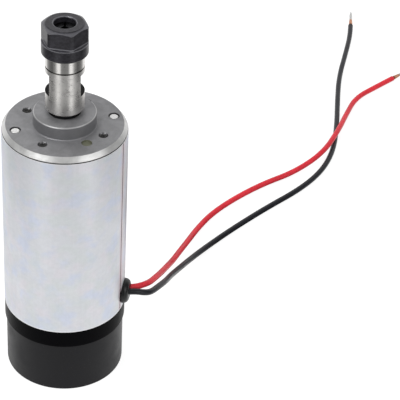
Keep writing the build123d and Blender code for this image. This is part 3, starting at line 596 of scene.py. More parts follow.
@dataclass(frozen=True)
class ZincPlate(Finish):
    """The can: bright zinc plate with soft tinted patches, faint lines, a dark butt seam, painted
    highlights along its cut edges and a painted shadow on its top face under the front bell.
    """

    patches: tuple[Colour, ...] = (srgb(212, 221, 243), srgb(232, 228, 234), srgb(220, 226, 226))
    patch_scale: float = 0.13
    patch_edge: Span = (0.46, 0.68)
    patch_strength: float = 0.55
    mottle_scale: float = 0.55
    line_width: float = 0.9
    cloud: float = 11.0
    seam_angle: float = -24.7             # degrees, as are seam_half and blush_reach
    seam_half: float = 0.5
    seam_depth: Span = (25.5, 25.9)
    blush_reach: float = 5.5
    seam: Colour = srgb(72, 50, 52)
    blush: Colour = srgb(222, 196, 201)
    # colour of the painted highlights along both cut edges
    rim: Colour = srgb(245, 245, 247)
    # colour of the painted shadow on the can's top face, under the front bell's lip
    crevice_shadow: Colour = srgb(26, 26, 28)
    crevice_radius: Span = (25.72, 25.82)
    lower_edge: float = 33.0
    upper_edge: float = 120.4

    def draw(self, on: Canvas) -> None:
        """Tint clouds under drawn lines, then draw the seam, the painted highlights along the cut edges
        and the painted shadow on the top face.

        Args:
            on: The new material's canvas.
        """
        place = on.at(on.effects.place)
        radius, height = place["Radius"], place["Height"]
        lines = on.at(on.effects.drawn, Width=self.line_width)
        marks = on.at(on.effects.smudge, Size=self.cloud)
        colour = self.colour
        for order, tint in enumerate(self.patches):
            cloud = on.point.noise(self.patch_scale, 2.0, 0.45, 31.0 * (order + 1))
            colour = on.blend(cloud.ease(*self.patch_edge), colour, tint, self.patch_strength)
        mottle = on.point.noise(self.mottle_scale, 3.0, 0.6, 9.0)
        colour = on.scaled(colour, on.level(0.5, lines["Tone"], mottle).spread(0.15))
        away = abs(place["Angle"] - self.seam_angle)
        colour = on.blend(away.fade(self.seam_half, self.blush_reach), colour, self.blush, 0.55)
        deep = away.fade(self.seam_half, self.seam_half + 0.12) * radius.ease(*self.seam_depth)
        colour = on.blend(deep, colour, self.seam)
        # painted highlights along the lower and the upper cut edge
        cut = (height.fade(self.lower_edge + 0.25, self.lower_edge + 0.5)
               | height.ease(self.upper_edge - 0.35, self.upper_edge - 0.12))
        colour = on.blend(cut, colour, self.rim)
        # painted shadow on the top face, where the front bell overhangs it
        crevice_shadow = radius.fade(*self.crevice_radius) * height.ease(self.upper_edge - 0.1,
                                                                  self.upper_edge - 0.04)
        colour = on.blend(crevice_shadow, colour, self.crevice_shadow)
        self.paint(on, colour, marks["Cloud"], (-0.05, 0.06), lines["Height"])


@dataclass(frozen=True)
class BlastedCasting(Finish):
    """The front end bell: fine blasted grey, with bright turned edges, threaded holes and painted shade in
    its gaps and hollows.
    """

    bright: Colour = srgb(222, 222, 221)
    # colour of the painted shade in the groove under the rim, in the well under the chuck and in the
    # thread valleys
    dark: Colour = srgb(16, 16, 16)
    # colour of the painted shade in the gap round each bolt
    ring: Colour = srgb(52, 52, 54)
    boss_side: Colour = srgb(138, 138, 141)
    countersink: Colour = srgb(112, 112, 114)
    dimple_colour: Colour = srgb(122, 123, 106)
    grain: float = 0.32
    pitch: float = 0.2
    cloud: float = 7.0
    face: float = 123.0
    boss_radius: Span = (12.9, 13.4)
    boss_top: float = 128.6
    boss_edge: Spot = (12.75, 128.75)
    bevel_start: float = 24.2
    bevel_foot: float = 120.8
    hidden_radius: float = 25.6
    hidden_height: Span = (120.0, 120.78)
    well: Spot = (6.85, 128.85)
    bolts: tuple[Spot, ...] = ()
    bolt_ring: Span = (2.25, 2.45)
    dimple: Spot = (0.0, 0.0)
    dimple_rim: Span = (2.3, 2.4)
    holes: tuple[Spot, ...] = ()
    mouth_rim: Span = (2.1, 2.15)
    bore_rim: Span = (1.72, 1.8)
    half_thread: float = 0.35
    thread_relief: float = 6.0
    worked_roughness: float = 0.36
    worked_metallic: float = 0.9

    def draw(self, on: Canvas) -> None:
        """Draw grain, lathe marks on bevel and chamfers, then painted shade round the bolts, in the groove
        and in the well, and the holes with painted shade in their thread valleys.

        Args:
            on: The new material's canvas.
        """
        place = on.at(on.effects.place)
        radius, height = place["Radius"], place["Height"]
        grain, lines = on.at(on.effects.grain, Size=self.grain), on.at(on.effects.turned, Pitch=self.pitch)
        cloud = on.at(on.effects.smudge, Size=self.cloud)["Cloud"]
        colour = on.scaled(self.colour, on.level(0.35, grain["Tone"], cloud) * 0.7 + 0.68)
        side = (radius.between(*self.boss_radius, 0.05)
                * height.between(self.face + 0.05, self.boss_top, 0.1))
        colour = on.blend(side, colour, self.boss_side, 0.6)
        bevel = (radius.ease(self.bevel_start - 0.08, self.bevel_start + 0.1)
                 * height.between(self.bevel_foot, self.face, 0.02))
        worked = bevel | on.edge(place, self.boss_edge, 0.4) * 0.6
        tone_and_highlight = on.level(0.5, lines["Tone"], cloud) * 0.42 + 0.66
        colour = on.blend(worked, colour, on.scaled(self.bright, tone_and_highlight))
        # painted shade in the gap round each bolt
        for bolt in self.bolts:
            colour = on.blend(on.away(bolt).fade(*self.bolt_ring), colour, self.ring)
        in_dimple = on.away(self.dimple).fade(*self.dimple_rim) * height.fade(self.face - 0.12,
                                                                              self.face - 0.02)
        colour = on.blend(in_dimple, colour, self.dimple_colour)
        # painted shade in the hidden groove under the rim and in the well under the chuck
        hidden = (radius.fade(self.hidden_radius - 0.1, self.hidden_radius)
                  * height.between(*self.hidden_height, 0.03))
        well = (radius.fade(self.well[0] - 0.1, self.well[0])
                * height.fade(self.well[1] - 0.25, self.well[1]))
        colour = on.blend(hidden | well, colour, self.dark)
        nearest = reduce(lambda first, second: on.math("MINIMUM", first, second),
                         (on.away(hole) for hole in self.holes))
        mouth = nearest.fade(*self.mouth_rim) * height.fade(self.face - 0.1, self.face - 0.04)
        bore = nearest.fade(*self.bore_rim) * height.fade(self.face - 0.5, self.face - 0.4)
        colour = on.blend(bore, on.blend(mouth, colour, self.countersink), self.bright)
        # painted shade in the thread valleys of each bore
        thread = height.wave(self.half_thread)
        colour = on.blend(bore * thread.ease(0.3, 0.1, 0.0, 0.7), colour, self.dark)
        on.set("Base Color", colour)
        on.set("Metallic", on.level(worked * 0.45 | mouth | side * 0.5, self.metallic,
                                    self.worked_metallic))
        on.set("Roughness", on.level(worked | mouth, self.roughness, self.worked_roughness))
        self.emboss(on, on.level(bore, on.level(worked, grain["Height"], lines["Height"]),
                                 thread * self.thread_relief))


@dataclass(frozen=True)
class GroundChuck(Finish):
    """The chuck: ground steel with fine lines, painted shade and dark reflection on the ledges under its
    flats, painted shade on its foot and in its groove, and a threaded nose.
    """

    line_pitch: float = 0.12
    line_relief: float = 0.012
    cloud: float = 3.5
    scuff: Colour = srgb(96, 92, 90)
    scuff_edge: Span = (0.6, 0.68)
    # colour of the painted shade on the ledges, the foot and in the groove
    dark: Colour = srgb(5, 5, 6)
    ledge: float = 139.0
    ledge_side: float = 6.2
    groove: Span = (150.7, 151.4)
    groove_floor: Span = (7.2, 7.4)
    groove_mouth: Span = (7.7, 7.95)
    foot: float = 131.0
    polished: Span = (151.3, 156.8)
    polished_roughness: float = 0.1
    nose: Span = (157.6, 163.2)
    nose_radius: Span = (6.8, 6.95)
    thread_pitch: float = 0.75
    thread_relief: float = 2.0

    def draw(self, on: Canvas) -> None:
        """Draw ring lines and scuffs, then painted shade on the ledges, the foot and the groove, and the
        thread.

        Args:
            on: The new material's canvas.
        """
        place = on.at(on.effects.place)
        radius, height = place["Radius"], place["Height"]
        lines = on.at(on.effects.turned, Pitch=self.line_pitch)
        cloud = on.at(on.effects.smudge, Size=self.cloud)["Cloud"]
        colour = on.scaled(self.colour, lines["Tone"].spread(0.12))
        specks = on.point.stretch((1.0, 1.0, 1.8)).noise(0.6, 4.0, 0.6, 17.0)
        colour = on.blend(specks.ease(*self.scuff_edge), colour, self.scuff, 0.5)
        # painted shade and dark reflection on the ledges under the flats, painted shade on the foot and in
        # the groove
        ledge = (abs(on.split(on.point)[0]).ease(self.ledge_side, self.ledge_side + 0.12)
                 * height.between(self.ledge - 0.08, self.ledge + 0.08, 0.06))
        groove = (height.between(*self.groove, 0.03) * radius.fade(*self.groove_mouth)
                  * radius.ease(*self.groove_floor))
        under = height.fade(self.foot + 0.02, self.foot + 0.12)
        on.set("Base Color", on.blend(ledge | under | groove * 0.8, colour, self.dark))
        ground = on.level(cloud, self.roughness - 0.04, self.roughness + 0.08)
        on.set("Roughness", on.level(height.between(*self.polished, 0.1), ground,
                                     self.polished_roughness))
        thread = (height / self.thread_pitch - place["Angle"] / 360.0).wave(0.5)
        on_nose = height.between(*self.nose, 0.05) * radius.ease(*self.nose_radius)
        self.emboss(on, on.level(on_nose, lines["Height"] * self.line_relief,
                                 thread * self.thread_relief))


@dataclass(frozen=True)
class BlackOxide(Finish):
    """Blackened turned steel: mottled, with painted highlights on its edges."""

    # colour of the painted highlights on the edges, the ledge and the chamfer
    tone_and_highlight: Colour = srgb(150, 150, 156)
    mottle: float = 0.4
    mottle_edge: Span = (0.38, 0.62)
    pitch: float = 0.16
    grain: float = 0.9
    edges: tuple[Spot, ...] = ()
    edge_width: float = 0.4
    # the ledge and the chamfer below are places of painted highlights
    ledge: Spot | None = None              # radius and height where a pale ledge starts
    ledge_rise: float = 0.45
    chamfer: Place | None = None           # radius and height of a cone's upper edge, and its slope

    def draw(self, on: Canvas) -> None:
        """Draw mottling over lathe marks, then the painted highlights.

        Args:
            on: The new material's canvas.
        """
        place = on.at(on.effects.place)
        radius, height = place["Radius"], place["Height"]
        lines, grain = on.at(on.effects.turned, Pitch=self.pitch), on.at(on.effects.grain, Size=self.grain)
        speckle = on.level(0.35, grain["Tone"], lines["Tone"]).ease(*self.mottle_edge)
        colour = on.scaled(self.colour, speckle.spread(self.mottle))
        # painted highlight on the ledge under the hex
        if self.ledge is not None:
            start, bottom = self.ledge
            lit_ledge = radius.ease(start, start + 0.1) * height.between(bottom, bottom + self.ledge_rise, 0.1)
            colour = on.blend(lit_ledge, colour, self.tone_and_highlight, 0.5)
        # painted highlight on the top chamfer
        if self.chamfer is not None:
            start, top, slope = self.chamfer
            off = abs(height - ((radius - start) * -slope + top))
            turned = off.fade(0.04, 0.1) * radius.ease(start + 0.1, start + 0.9)
            colour = on.blend(turned, colour, self.tone_and_highlight, 0.3)
        # painted highlights along the edge rings
        for ring in self.edges:
            colour = on.blend(on.edge(place, ring, self.edge_width), colour, self.tone_and_highlight, 0.55)
        self.paint(on, colour, grain["Tone"], (-0.08, 0.1),
                   on.level(0.5, lines["Height"], grain["Height"]))


@dataclass(frozen=True)
class Insulation(Finish):
    """Soft wire insulation: slight waves where the strands press through, and handling marks."""

    grain: float = 0.6
    cloud: float = 12.0
    wave_scale: float = 0.4

    def draw(self, on: Canvas) -> None:
        """Draw tone clouds and a shallow wavy surface.

        Args:
            on: The new material's canvas.
        """
        grain, marks = on.at(on.effects.grain, Size=self.grain), on.at(on.effects.smudge, Size=self.cloud)
        waves = on.point.noise(self.wave_scale, 2.0, 0.5, 5.0)
        mixed = on.level(0.5, on.level(0.6, grain["Tone"], marks["Cloud"]), waves)
        self.paint(on, on.scaled(self.colour, mixed.spread(0.25)), marks["Cloud"], (-0.06, 0.08),
                   grain["Height"] * 0.12 + waves)


@dataclass(frozen=True)
class StrandedCopper(Finish):
    """Bare copper strands with painted shade where they leave the insulation, turning to tin towards their
    end, by the piece's own attribute.
    """

    tin: Colour = srgb(205, 205, 204)
    tin_roughness: float = 0.3
    # colour of the painted shade where the strands leave the insulation
    root_shade: Colour = srgb(84, 48, 38)
    root_shade_end: Span = (0.05, 0.14)
    tinned_from: float = 0.42

    def draw(self, on: Canvas) -> None:
        """Draw painted shade where the strands leave the insulation, copper after it and tin beyond.

        Args:
            on: The new material's canvas.
        """
        along = on.out("Attribute", output="Fac", attribute_name="along", attribute_type="GEOMETRY")
        border = (on.point.noise(2.2, 2.0) - 0.5) * 0.3 + along
        tinned = border.ease(self.tinned_from - 0.06, self.tinned_from + 0.06)
        # painted shade at the root, easing into copper
        copper = on.blend(along.ease(*self.root_shade_end), self.root_shade, self.colour)
        tone = on.point.noise(5.0).spread(0.2)
        on.set("Base Color", on.scaled(on.blend(tinned, copper, self.tin), tone))
        on.set("Roughness", on.level(tinned, self.roughness, self.tin_roughness))
        self.emboss(on, on.point.noise(6.0))


# ---------------------------------------------------------------- meshes from arrays
def closed_surface(name: str, rows: np.ndarray, along: np.ndarray | None = None) -> bpy.types.Object:
    """Make a mesh from closed rows of points, with both ends capped.

    Row i, column j is a corner; column j joins j + 1, and the last joins the first. Points that
    several tubes share come as one array with a leading axis for the tubes.

    Args:
        name: The piece's name.
        rows: Corners in metres, of shape (tubes, rows, columns, 3).
        along: A value for each row, from 0 to 1, kept as the mesh's attribute "along".

    Returns:
        The new object, at the origin.
    """
    tubes, length, around, _ = rows.shape
    index = np.arange(tubes * length * around).reshape(tubes, length, around)
    beside = np.roll(index, -1, axis=2)
    quads = np.stack([index[:, :-1], beside[:, :-1], beside[:, 1:], index[:, 1:]], axis=-1).reshape(-1, 4)
    caps = np.concatenate([index[:, 0, ::-1], index[:, -1]])
    mesh = bpy.data.meshes.new(name)
    mesh.vertices.add(index.size)
    mesh.vertices.foreach_set("co", rows.astype(np.float32).ravel())
    corners = np.concatenate([quads.ravel(), caps.ravel()])
    mesh.loops.add(len(corners))
    mesh.loops.foreach_set("vertex_index", corners.astype(np.int32))
    starts = np.concatenate([np.arange(len(quads)) * 4, len(quads) * 4 + np.arange(len(caps)) * around])
    mesh.polygons.add(len(starts))
    mesh.polygons.foreach_set("loop_start", starts.astype(np.int32))
    mesh.update(calc_edges=True)
    mesh.polygons.foreach_set("use_smooth", np.arange(len(starts)) < len(quads))
    if along is not None:
        values = np.broadcast_to(along[None, :, None], index.shape).astype(np.float32)
        mesh.attributes.new("along", "FLOAT", "POINT").data.foreach_set("value", values.ravel())
    mesh.validate()
    return linked(name, mesh)


def linked(name: str, data: bpy.types.ID) -> bpy.types.Object:
    """Put a new object into the scene.

    Args:
        name: The object's name.
        data: Its mesh, curve, camera or light.

    Returns:
        The new object, at the origin.
    """
    piece = bpy.data.objects.new(name, data)
    bpy.context.scene.collection.objects.link(piece)
    return piece


def circle(count: int) -> np.ndarray:
    """Return evenly spaced angles of one turn, in radians."""
    return np.linspace(0, 2 * np.pi, count, endpoint=False)


def spokes(angle: np.ndarray, direction: np.ndarray) -> np.ndarray:
    """Point unit vectors round a direction, square to it.

    Args:
        angle: Angles in radians, of any shape.
        direction: A unit vector that isn't upright.

    Returns:
        One vector for each angle: its cosine along a level vector plus its sine along the one
        square to both.
    """
    level = np.cross(direction, (0.0, 0.0, 1.0))
    level /= np.linalg.norm(level)
    return np.cos(angle)[..., None] * level + np.sin(angle)[..., None] * np.cross(level, direction)


# ---------------------------------------------------------------- sub-assemblies
@dataclass
class SubAssembly:
    """A group of CAD nodes that get their finishes together."""

    effects: Effects

    def material(self, finish: Finish) -> bpy.types.Material:
        """Find or make a finish's material.

        Args:
            finish: What the surface is.

        Returns:
            The material, which is built once.
        """
        store = self.effects.materials
        if finish.name not in store:
            store[finish.name] = finish.build(self.effects)
        return store[finish.name]

    def coat(self, finish: Finish, *nodes: str) -> None:
        """Give CAD nodes a finish.

        Args:
            finish: What their surfaces are.
            nodes: Names of CAD nodes.
        """
        for node in nodes:
            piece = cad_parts[node]
            piece.data.materials.clear()
            piece.data.materials.append(self.material(finish))
            log.info("%s: %s", node, finish.name)

    def add(self, piece: bpy.types.Object, finish: Finish, slot: str) -> bpy.types.Object:
        """Finish a new piece and put it on the motor's body.

        Args:
            piece: The new object.
            finish: What its surface is.
            slot: The frame's slot that it belongs to; not used.

        Returns:
            The same object.
        """
        piece.data.materials.append(self.material(finish))
        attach(piece, MOTOR_BODY)
        log.info("%s: new piece on %s, %s", piece.name, MOTOR_BODY, finish.name)
        return piece


@dataclass
class FreeLead(SubAssembly):
    """One free lead: its insulation on a smooth line, its cut end and its bare strands."""

    name: str
    route: tuple[Place, ...]
    exit: Place
    length: float
    tip_length: float
    finish: Finish
    strand_finish: Finish
    radius: float = 1.35
    flare_radius: float = 1.1              # of the strands' bundle where it leaves the insulation
    tip_radius: float = 0.78
    strands: int = 9
    strand_radius: float = 0.2
    twist: float = 0.5                     # radians to a millimetre
    settled_at: float = 0.5                # share of the tip where the bundle has its tip radius
    drawn_in_from: float = 0.7             # share where the bundle starts to close
    drawn_in: float = 0.75                 # how much of its spread it loses
    waviness: float = 0.06                 # change of the strands' thickness along them
    raggedness: float = 0.03               # of the cut end, round its rim
    slant: float = 0.25                    # of the cut, against its reach

    def build(self, company: list[bpy.types.Object]) -> None:
        """Args:
            company: Other pieces that lie on this lead; not used.
        """
        wire = self.add(self.insulation(), self.finish, self.name)
        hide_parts(self.name)
        end = self.add(self.cut_end(), self.finish, self.name)
        bare = self.add(self.bare_strands(), self.strand_finish, "tinned_copper")
        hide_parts(self.name + "_tip")
        [value * MM for value in self.exit]
        2 * self.radius * MM

    def last_run(self) -> tuple[np.ndarray, np.ndarray]:
        """Find where the insulation stops.

        Returns:
            The lead's end in millimetres and its direction there.
        """
        end = np.array(self.route[-1])
        way = end - np.array(self.route[-2])
        return end, way / np.linalg.norm(way)

    def insulation(self) -> bpy.types.Object:
        """Make the insulation: a round bevel along one open NURBS line with the route's points.

        Returns:
            The new curve object.
        """
        data = bpy.data.curves.new(self.name + "_insulation", "CURVE")
        data.dimensions = "3D"
        data.bevel_depth = self.radius * MM
        data.bevel_resolution = 8
        data.resolution_u = 12
        data.use_fill_caps = True
        spline = data.splines.new("NURBS")
        spline.points.add(len(self.route) - 1)
        for point, place in zip(spline.points, self.route):
            point.co = (*(value * MM for value in place), 1.0)
        spline.order_u = 3
        spline.use_endpoint_u = True
        return linked(data.name, data)

    def cut_end(self) -> bpy.types.Object:
        """Make the insulation's cut end.

        A profile of radius and reach is turned about the lead's line: it rounds off the outer
        edge, crosses the rim and dips round the strands. Beyond the cut its radius changes with
        the sine of three times the angle, and its reach with the sine of twice the angle.

        Returns:
            The new object.
        """
        end, way = self.last_run()
        outer, inner = self.radius, self.flare_radius
        profile = np.array([(outer, -0.6), (1.02 * outer, -0.2), (1.01 * outer, 0.12),
                            (0.96 * outer, 0.26), (0.87 * outer, 0.3), (1.08 * inner, 0.22),
                            (inner, 0.05), (0.9 * inner, 0.02)])
        radius, reach = profile[:, :1], profile[:, 1:]
        angle = circle(24)
        radius = radius * (1 + self.raggedness * np.sin(3 * angle + 0.7) * (reach > 0))
        reach = reach * (1 + self.slant * np.sin(2 * angle + 1.0))
        rows = end + radius[..., None] * spokes(angle, way) + reach[..., None] * way
        return closed_surface(self.name + "_cut_end", rows[None] * MM)

    def bare_strands(self) -> bpy.types.Object:
        """Make the twisted strands that stand out of the insulation.

        Each outer strand is a tube whose centre goes round the lead's line in a helix. The helix is
        widest at the insulation, eases to the tinned end's radius and closes at the tip, and a
        thicker strand fills the middle.

        Returns:
            The new object, with its length along the lead as an attribute.
        """
        end, way = self.last_run()
        share = np.linspace(0, 1, 64)
        reach = share * self.tip_length
        settled = np.clip(share / self.settled_at, 0, 1)
        settled = settled ** 2 * (3 - 2 * settled)
        spread = self.flare_radius + (self.tip_radius - self.flare_radius) * settled - self.strand_radius
        closing = np.clip((share - self.drawn_in_from) / (1 - self.drawn_in_from), 0, 1)
        spread *= 1 - self.drawn_in * closing ** 2
        rounded = np.clip((1 - share) * 14, 0.12, 1) ** 0.5
        turn = circle(self.strands)[:, None] + self.twist * reach
        centre = spread[:, None] * spokes(turn, way)
        centre = np.concatenate([centre, np.zeros((1, len(share), 3))]) + end + reach[:, None] * way
        radii = np.tile(self.strand_radius * rounded * (1 + self.waviness * np.sin(9 * share)),
                        (len(centre), 1))
        radii[-1] = np.maximum(spread, self.strand_radius) * rounded
        rows = centre[:, :, None, :] + radii[:, :, None, None] * spokes(circle(10), way)
        return closed_surface(self.name + "_strands", rows * MM, share)


@dataclass
class Grommet(SubAssembly):
    """The rubber grommet in the can's lead hole: a domed disc outside, a neck and an inner disc."""

    finish: Finish
    angle: float = -13.0
    level: float = 39.6
    can_radius: float = 26.0
    can_wall: float = 2.0
    play: float = 0.02                     # between the rubber and both sides of the wall

    def build(self) -> bpy.types.Object:
        """Make the grommet and let it stand for its CAD node.

        Returns:
            The new object.
        """
        piece = self.add(self.surface(), self.finish, "grommet_rubber")
        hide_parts("lead_grommet")
        return piece

    def surface(self) -> bpy.types.Object:
        """Turn the grommet's profile about the lead hole's axis.

        Each corner has a radius and a reach beyond the can's wall. A corner with a wall radius lies
        on that cylinder: its reach is the root of wall radius squared less the level offset squared.

        Returns:
            The new object.
        """
        outer, inner = self.can_radius + self.play, self.can_radius - self.can_wall - self.play
        profile = np.array([
            (0.02, 2.45, 0), (1.4, 2.5, 0), (2.7, 2.6, 0), (3.5, 2.58, 0), (4.1, 2.42, 0), (4.7, 2.05, 0),
            (5.15, 1.5, 0), (5.4, 0.9, 0), (5.5, 0.35, 0), (5.45, 0, outer), (4.4, 0, outer),
            (3.6, 0, outer), (3.6, 0, inner), (4.1, 0, inner), (4.5, -0.3, inner), (4.4, -3.7, 0),
            (4.0, -3.8, 0), (0.02, -3.8, 0)])
        turn = circle(96)
        radius, reach, wall = (profile[:, column, None] for column in range(3))
        aside, up = radius * np.cos(turn), radius * np.sin(turn)
        seated = np.sqrt(np.maximum(wall ** 2 - aside ** 2, 0)) - self.can_radius
        out = np.where(wall > 0, seated + reach, reach) + self.can_radius
        heading = math.radians(self.angle)
        axis = np.array([math.cos(heading), math.sin(heading), 0.0])
        across = np.array([-math.sin(heading), math.cos(heading), 0.0])
        rows = (out[..., None] * axis + aside[..., None] * across
                + (up + self.level)[..., None] * np.array([0.0, 0.0, 1.0]))
        return closed_surface("lead_grommet_dome", rows[None] * MM)


@dataclass
class Leads(SubAssembly):
    """The grommet, the two free leads that lie on the ground, and the inner leads."""

    black_route: tuple[Place, ...] = (
        (25.880, -6.946, 39.6), (30.363, -6.554, 39.6), (34.4, -5.9, 38.3), (37.3, -3.6, 36.8),
        (40.8, 3.2, 34.2), (44.6, 13.8, 28.7), (47.8, 28.0, 20.4), (52.4, 43.2, 12.0), (58.0, 57.8, 5.2),
        (66.4, 71.6, 1.6), (80.0, 86.2, 1.35), (99.0, 104.2, 1.35), (117.6, 120.0, 1.35),
        (130.4, 135.6, 1.35), (138.4, 153.8, 1.35), (142.9, 177.0, 1.35), (146.0, 200.6, 1.35),
        (149.6, 224.0, 1.35), (156.6, 249.6, 1.35), (161.2, 267.8, 1.35), (162.5, 277.2, 1.35))
    red_route: tuple[Place, ...] = (
        (25.627, -4.057, 39.6), (30.110, -3.665, 39.6), (34.0, -1.4, 39.0), (37.0, 2.2, 37.6),
        (39.6, 8.9, 34.6), (42.5, 18.3, 29.6), (46.3, 29.2, 25.0), (49.6, 42.6, 17.6), (53.8, 58.0, 10.8),
        (58.6, 73.6, 4.6), (64.2, 87.6, 1.6), (71.8, 99.6, 1.35), (84.0, 112.2, 1.35),
        (99.5, 124.7, 1.35), (116.2, 133.9, 2.0), (131.8, 146.4, 4.9), (142.4, 167.4, 4.9),
        (149.0, 186.4, 2.0), (156.2, 203.2, 1.35), (169.0, 214.3, 1.35), (178.8, 222.5, 1.35))
    black_exit: Place = (27.787, -6.779, 39.6)
    red_exit: Place = (28.473, -3.808, 39.6)

    def build(self) -> None:
        """Make both leads and finish what they pass through."""
        black = Insulation("black_insulation", srgb(27, 28, 34), 0.34, specular=0.3, bump=0.05)
        red = Insulation("red_insulation", srgb(220, 48, 61), 0.36, specular=0.25, bump=0.05)
        copper = StrandedCopper("stranded_copper", srgb(206, 150, 118), 0.4, metallic=0.6, bump=0.02)
        rubber = Moulding("soft_rubber", srgb(20, 22, 23), 0.34, specular=0.35, bump=0.015, grain=0.3,
                          tone=0.2)
        grommet = Grommet(self.effects, rubber).build()
        FreeLead(self.effects, "lead_black", self.black_route, self.black_exit, length=338,
                 tip_length=15.5, finish=black, strand_finish=copper).build([grommet])
        FreeLead(self.effects, "lead_red", self.red_route, self.red_exit, length=295,
                 tip_length=12.5, finish=red, strand_finish=copper).build([])
        self.coat(black, "inner_lead_black")
        self.coat(red, "inner_lead_red")


@dataclass
class Housing(SubAssembly):
    """Rear cover, rear end bell, can, front end bell, through bolts and magnets."""

    bolt_circle: float = 41.4
    bolt_angles: tuple[float, ...] = (14.0, 195.0)
    hole_circle: float = 35.7
    hole_angles: tuple[float, ...] = (60.0, 150.0, 240.0, 330.0)
    dimple_radius: float = 16.9
    dimple_angle: float = -58.8

    def around(self, radius: float, angle: float) -> Spot:
        """Return the x and y of a point at a radius and an angle in degrees."""
        return (radius * math.cos(math.radians(angle)), radius * math.sin(math.radians(angle)))

    def build(self) -> None:
        """Finish the shell and what lies in it."""
        self.coat(CoverMoulding("charcoal_cover", srgb(22, 22, 25), 0.4, specular=0.2, bump=0.012,
                                grain=0.22, tone=0.2, dust=0.1), "rear_cover")
        self.coat(Moulding("black_enamel", srgb(4, 4, 6), 0.3, specular=0.03, bump=0.004, grain=0.5,
                           tone=0.2), "rear_end_bell")
        self.coat(ZincPlate("zinc_plate", srgb(226, 228, 233), 0.42, metallic=0.55, bump=0.01),
                  "motor_can")
        self.coat(BlastedCasting(
            "blasted_casting", srgb(128, 128, 130), 0.5, metallic=0.3, bump=0.035,
            bolts=tuple(self.around(self.bolt_circle / 2, angle) for angle in self.bolt_angles),
            holes=tuple(self.around(self.hole_circle / 2, angle) for angle in self.hole_angles),
            dimple=self.around(self.dimple_radius, self.dimple_angle)), "front_end_bell")
        self.coat(WorkedMetal("bright_zinc", srgb(214, 214, 213), 0.4, metallic=0.5, tone=0.3, bump=0.03,
                              pitch=0.2), "through_bolts")
        self.coat(Moulding("ground_ferrite", srgb(58, 58, 61), 0.6, bump=0.01, grain=0.15),
                  "magnet_left", "magnet_right")


@dataclass
class Rotor(SubAssembly):
    """Shaft, armature, commutator, bearings, brush gear and the springs that load them."""

    def build(self) -> None:
        """Finish the turning parts and the pieces that carry them."""
        self.coat(WorkedMetal("ground_bearing_steel", srgb(128, 129, 133), 0.34, metallic=0.8, bump=0.004,
                              pitch=0.1), "rotor_shaft", "front_bearing_outer_race",
                  "front_bearing_balls", *(f"rear_bearing_{part}" for part in (
                      "outer_race", "inner_race", "balls", "shields")))
        # the front bearing's inner race and shields are darkened as painted shade, seen through the gap
        # under the chuck
        self.coat(WorkedMetal("shade_dark_bearing_steel", srgb(34, 33, 32), 0.5, metallic=0.3, specular=0.2,
                              bump=0.004), "front_bearing_inner_race", "front_bearing_shields")
        self.coat(WorkedMetal("drawn_spring_wire", srgb(150, 150, 152), 0.3, metallic=1.0, bump=0.006,
                              pitch=0.2), "magnet_clips", "preload_washer", "brush_spring_front",
                  "brush_spring_rear")
        self.coat(WorkedMetal("varnished_laminations", srgb(140, 142, 146), 0.4, metallic=0.9, bump=0.03,
                              pitch=0.5), "armature_core")
        self.coat(Moulding("insulating_paper", srgb(60, 104, 66), 0.7, bump=0.02, grain=0.4),
                  "armature_insulators")
        self.coat(WorkedMetal("enamelled_winding", srgb(150, 78, 40), 0.3, metallic=0.8, bump=0.15,
                              pitch=0.6), "armature_windings")
        self.coat(WorkedMetal("commutator_copper", srgb(196, 122, 84), 0.3, metallic=1.0, bump=0.01),
                  "commutator_bars")
        self.coat(Moulding("pressed_phenolic", srgb(88, 52, 32), 0.5, bump=0.01, grain=0.3),
                  "commutator_hub", "brush_plate")
        self.coat(WorkedMetal("sheet_brass", srgb(202, 170, 100), 0.3, metallic=1.0, bump=0.006,
                              pitch=0.3, marks=ToolMarks.ALONG), "brush_holder_front",
                  "brush_holder_rear")
        self.coat(Moulding("brush_carbon", srgb(46, 46, 48), 0.6, bump=0.02, grain=0.12),
                  "carbon_brush_front", "carbon_brush_rear")


@dataclass
class Chuck(SubAssembly):
    """Chuck body, its grub screws, the collet and the clamping nut."""

    def build(self) -> None:
        """Finish the tool end."""
        self.coat(GroundChuck("ground_chuck", srgb(228, 226, 223), 0.3, metallic=1.0, bump=0.12),
                  "chuck_body")
        self.coat(BlackOxide("grub_oxide", srgb(44, 44, 46), 0.4, metallic=0.4, bump=0.01),
                  "chuck_grub_screws")
        # the collet is darkened as painted shade inside the nut's mouth
        self.coat(WorkedMetal("shade_dark_collet_steel", srgb(62, 62, 64), 0.4, metallic=1.0, bump=0.008),
                  "collet")
        # the nut's edges, ledge and chamfer carry painted highlights
        self.coat(BlackOxide("nut_oxide", srgb(46, 45, 50), 0.3, metallic=0.25, specular=0.35, bump=0.02,
                             edges=((9.5, 162.2), (4.75, 170.35)), ledge=(8.42, 162.7),
                             chamfer=(7.5, 170.4, 0.577)), "collet_nut")


# ---------------------------------------------------------------- camera, floor and light
@dataclass(frozen=True)
class SoftLight:
    """A square soft light. Its place and size are in metres, and its power is in watts."""

    name: str
    place: Place
    size: float
    power: float
    aim: Place = (0.0, 0.0, 0.09)          # the middle of the motor

    def build(self) -> None:
        """Add the light, turned to face its aim."""
        data = bpy.data.lights.new(self.name, "AREA")
        data.shape, data.size, data.energy = "SQUARE", self.size, self.power
        light = linked(self.name, data)
        light.location = self.place
        light.rotation_mode = "QUATERNION"
        way = Vector(self.aim) - Vector(self.place)
        light.rotation_quaternion = way.to_track_quat("-Z", "Y")


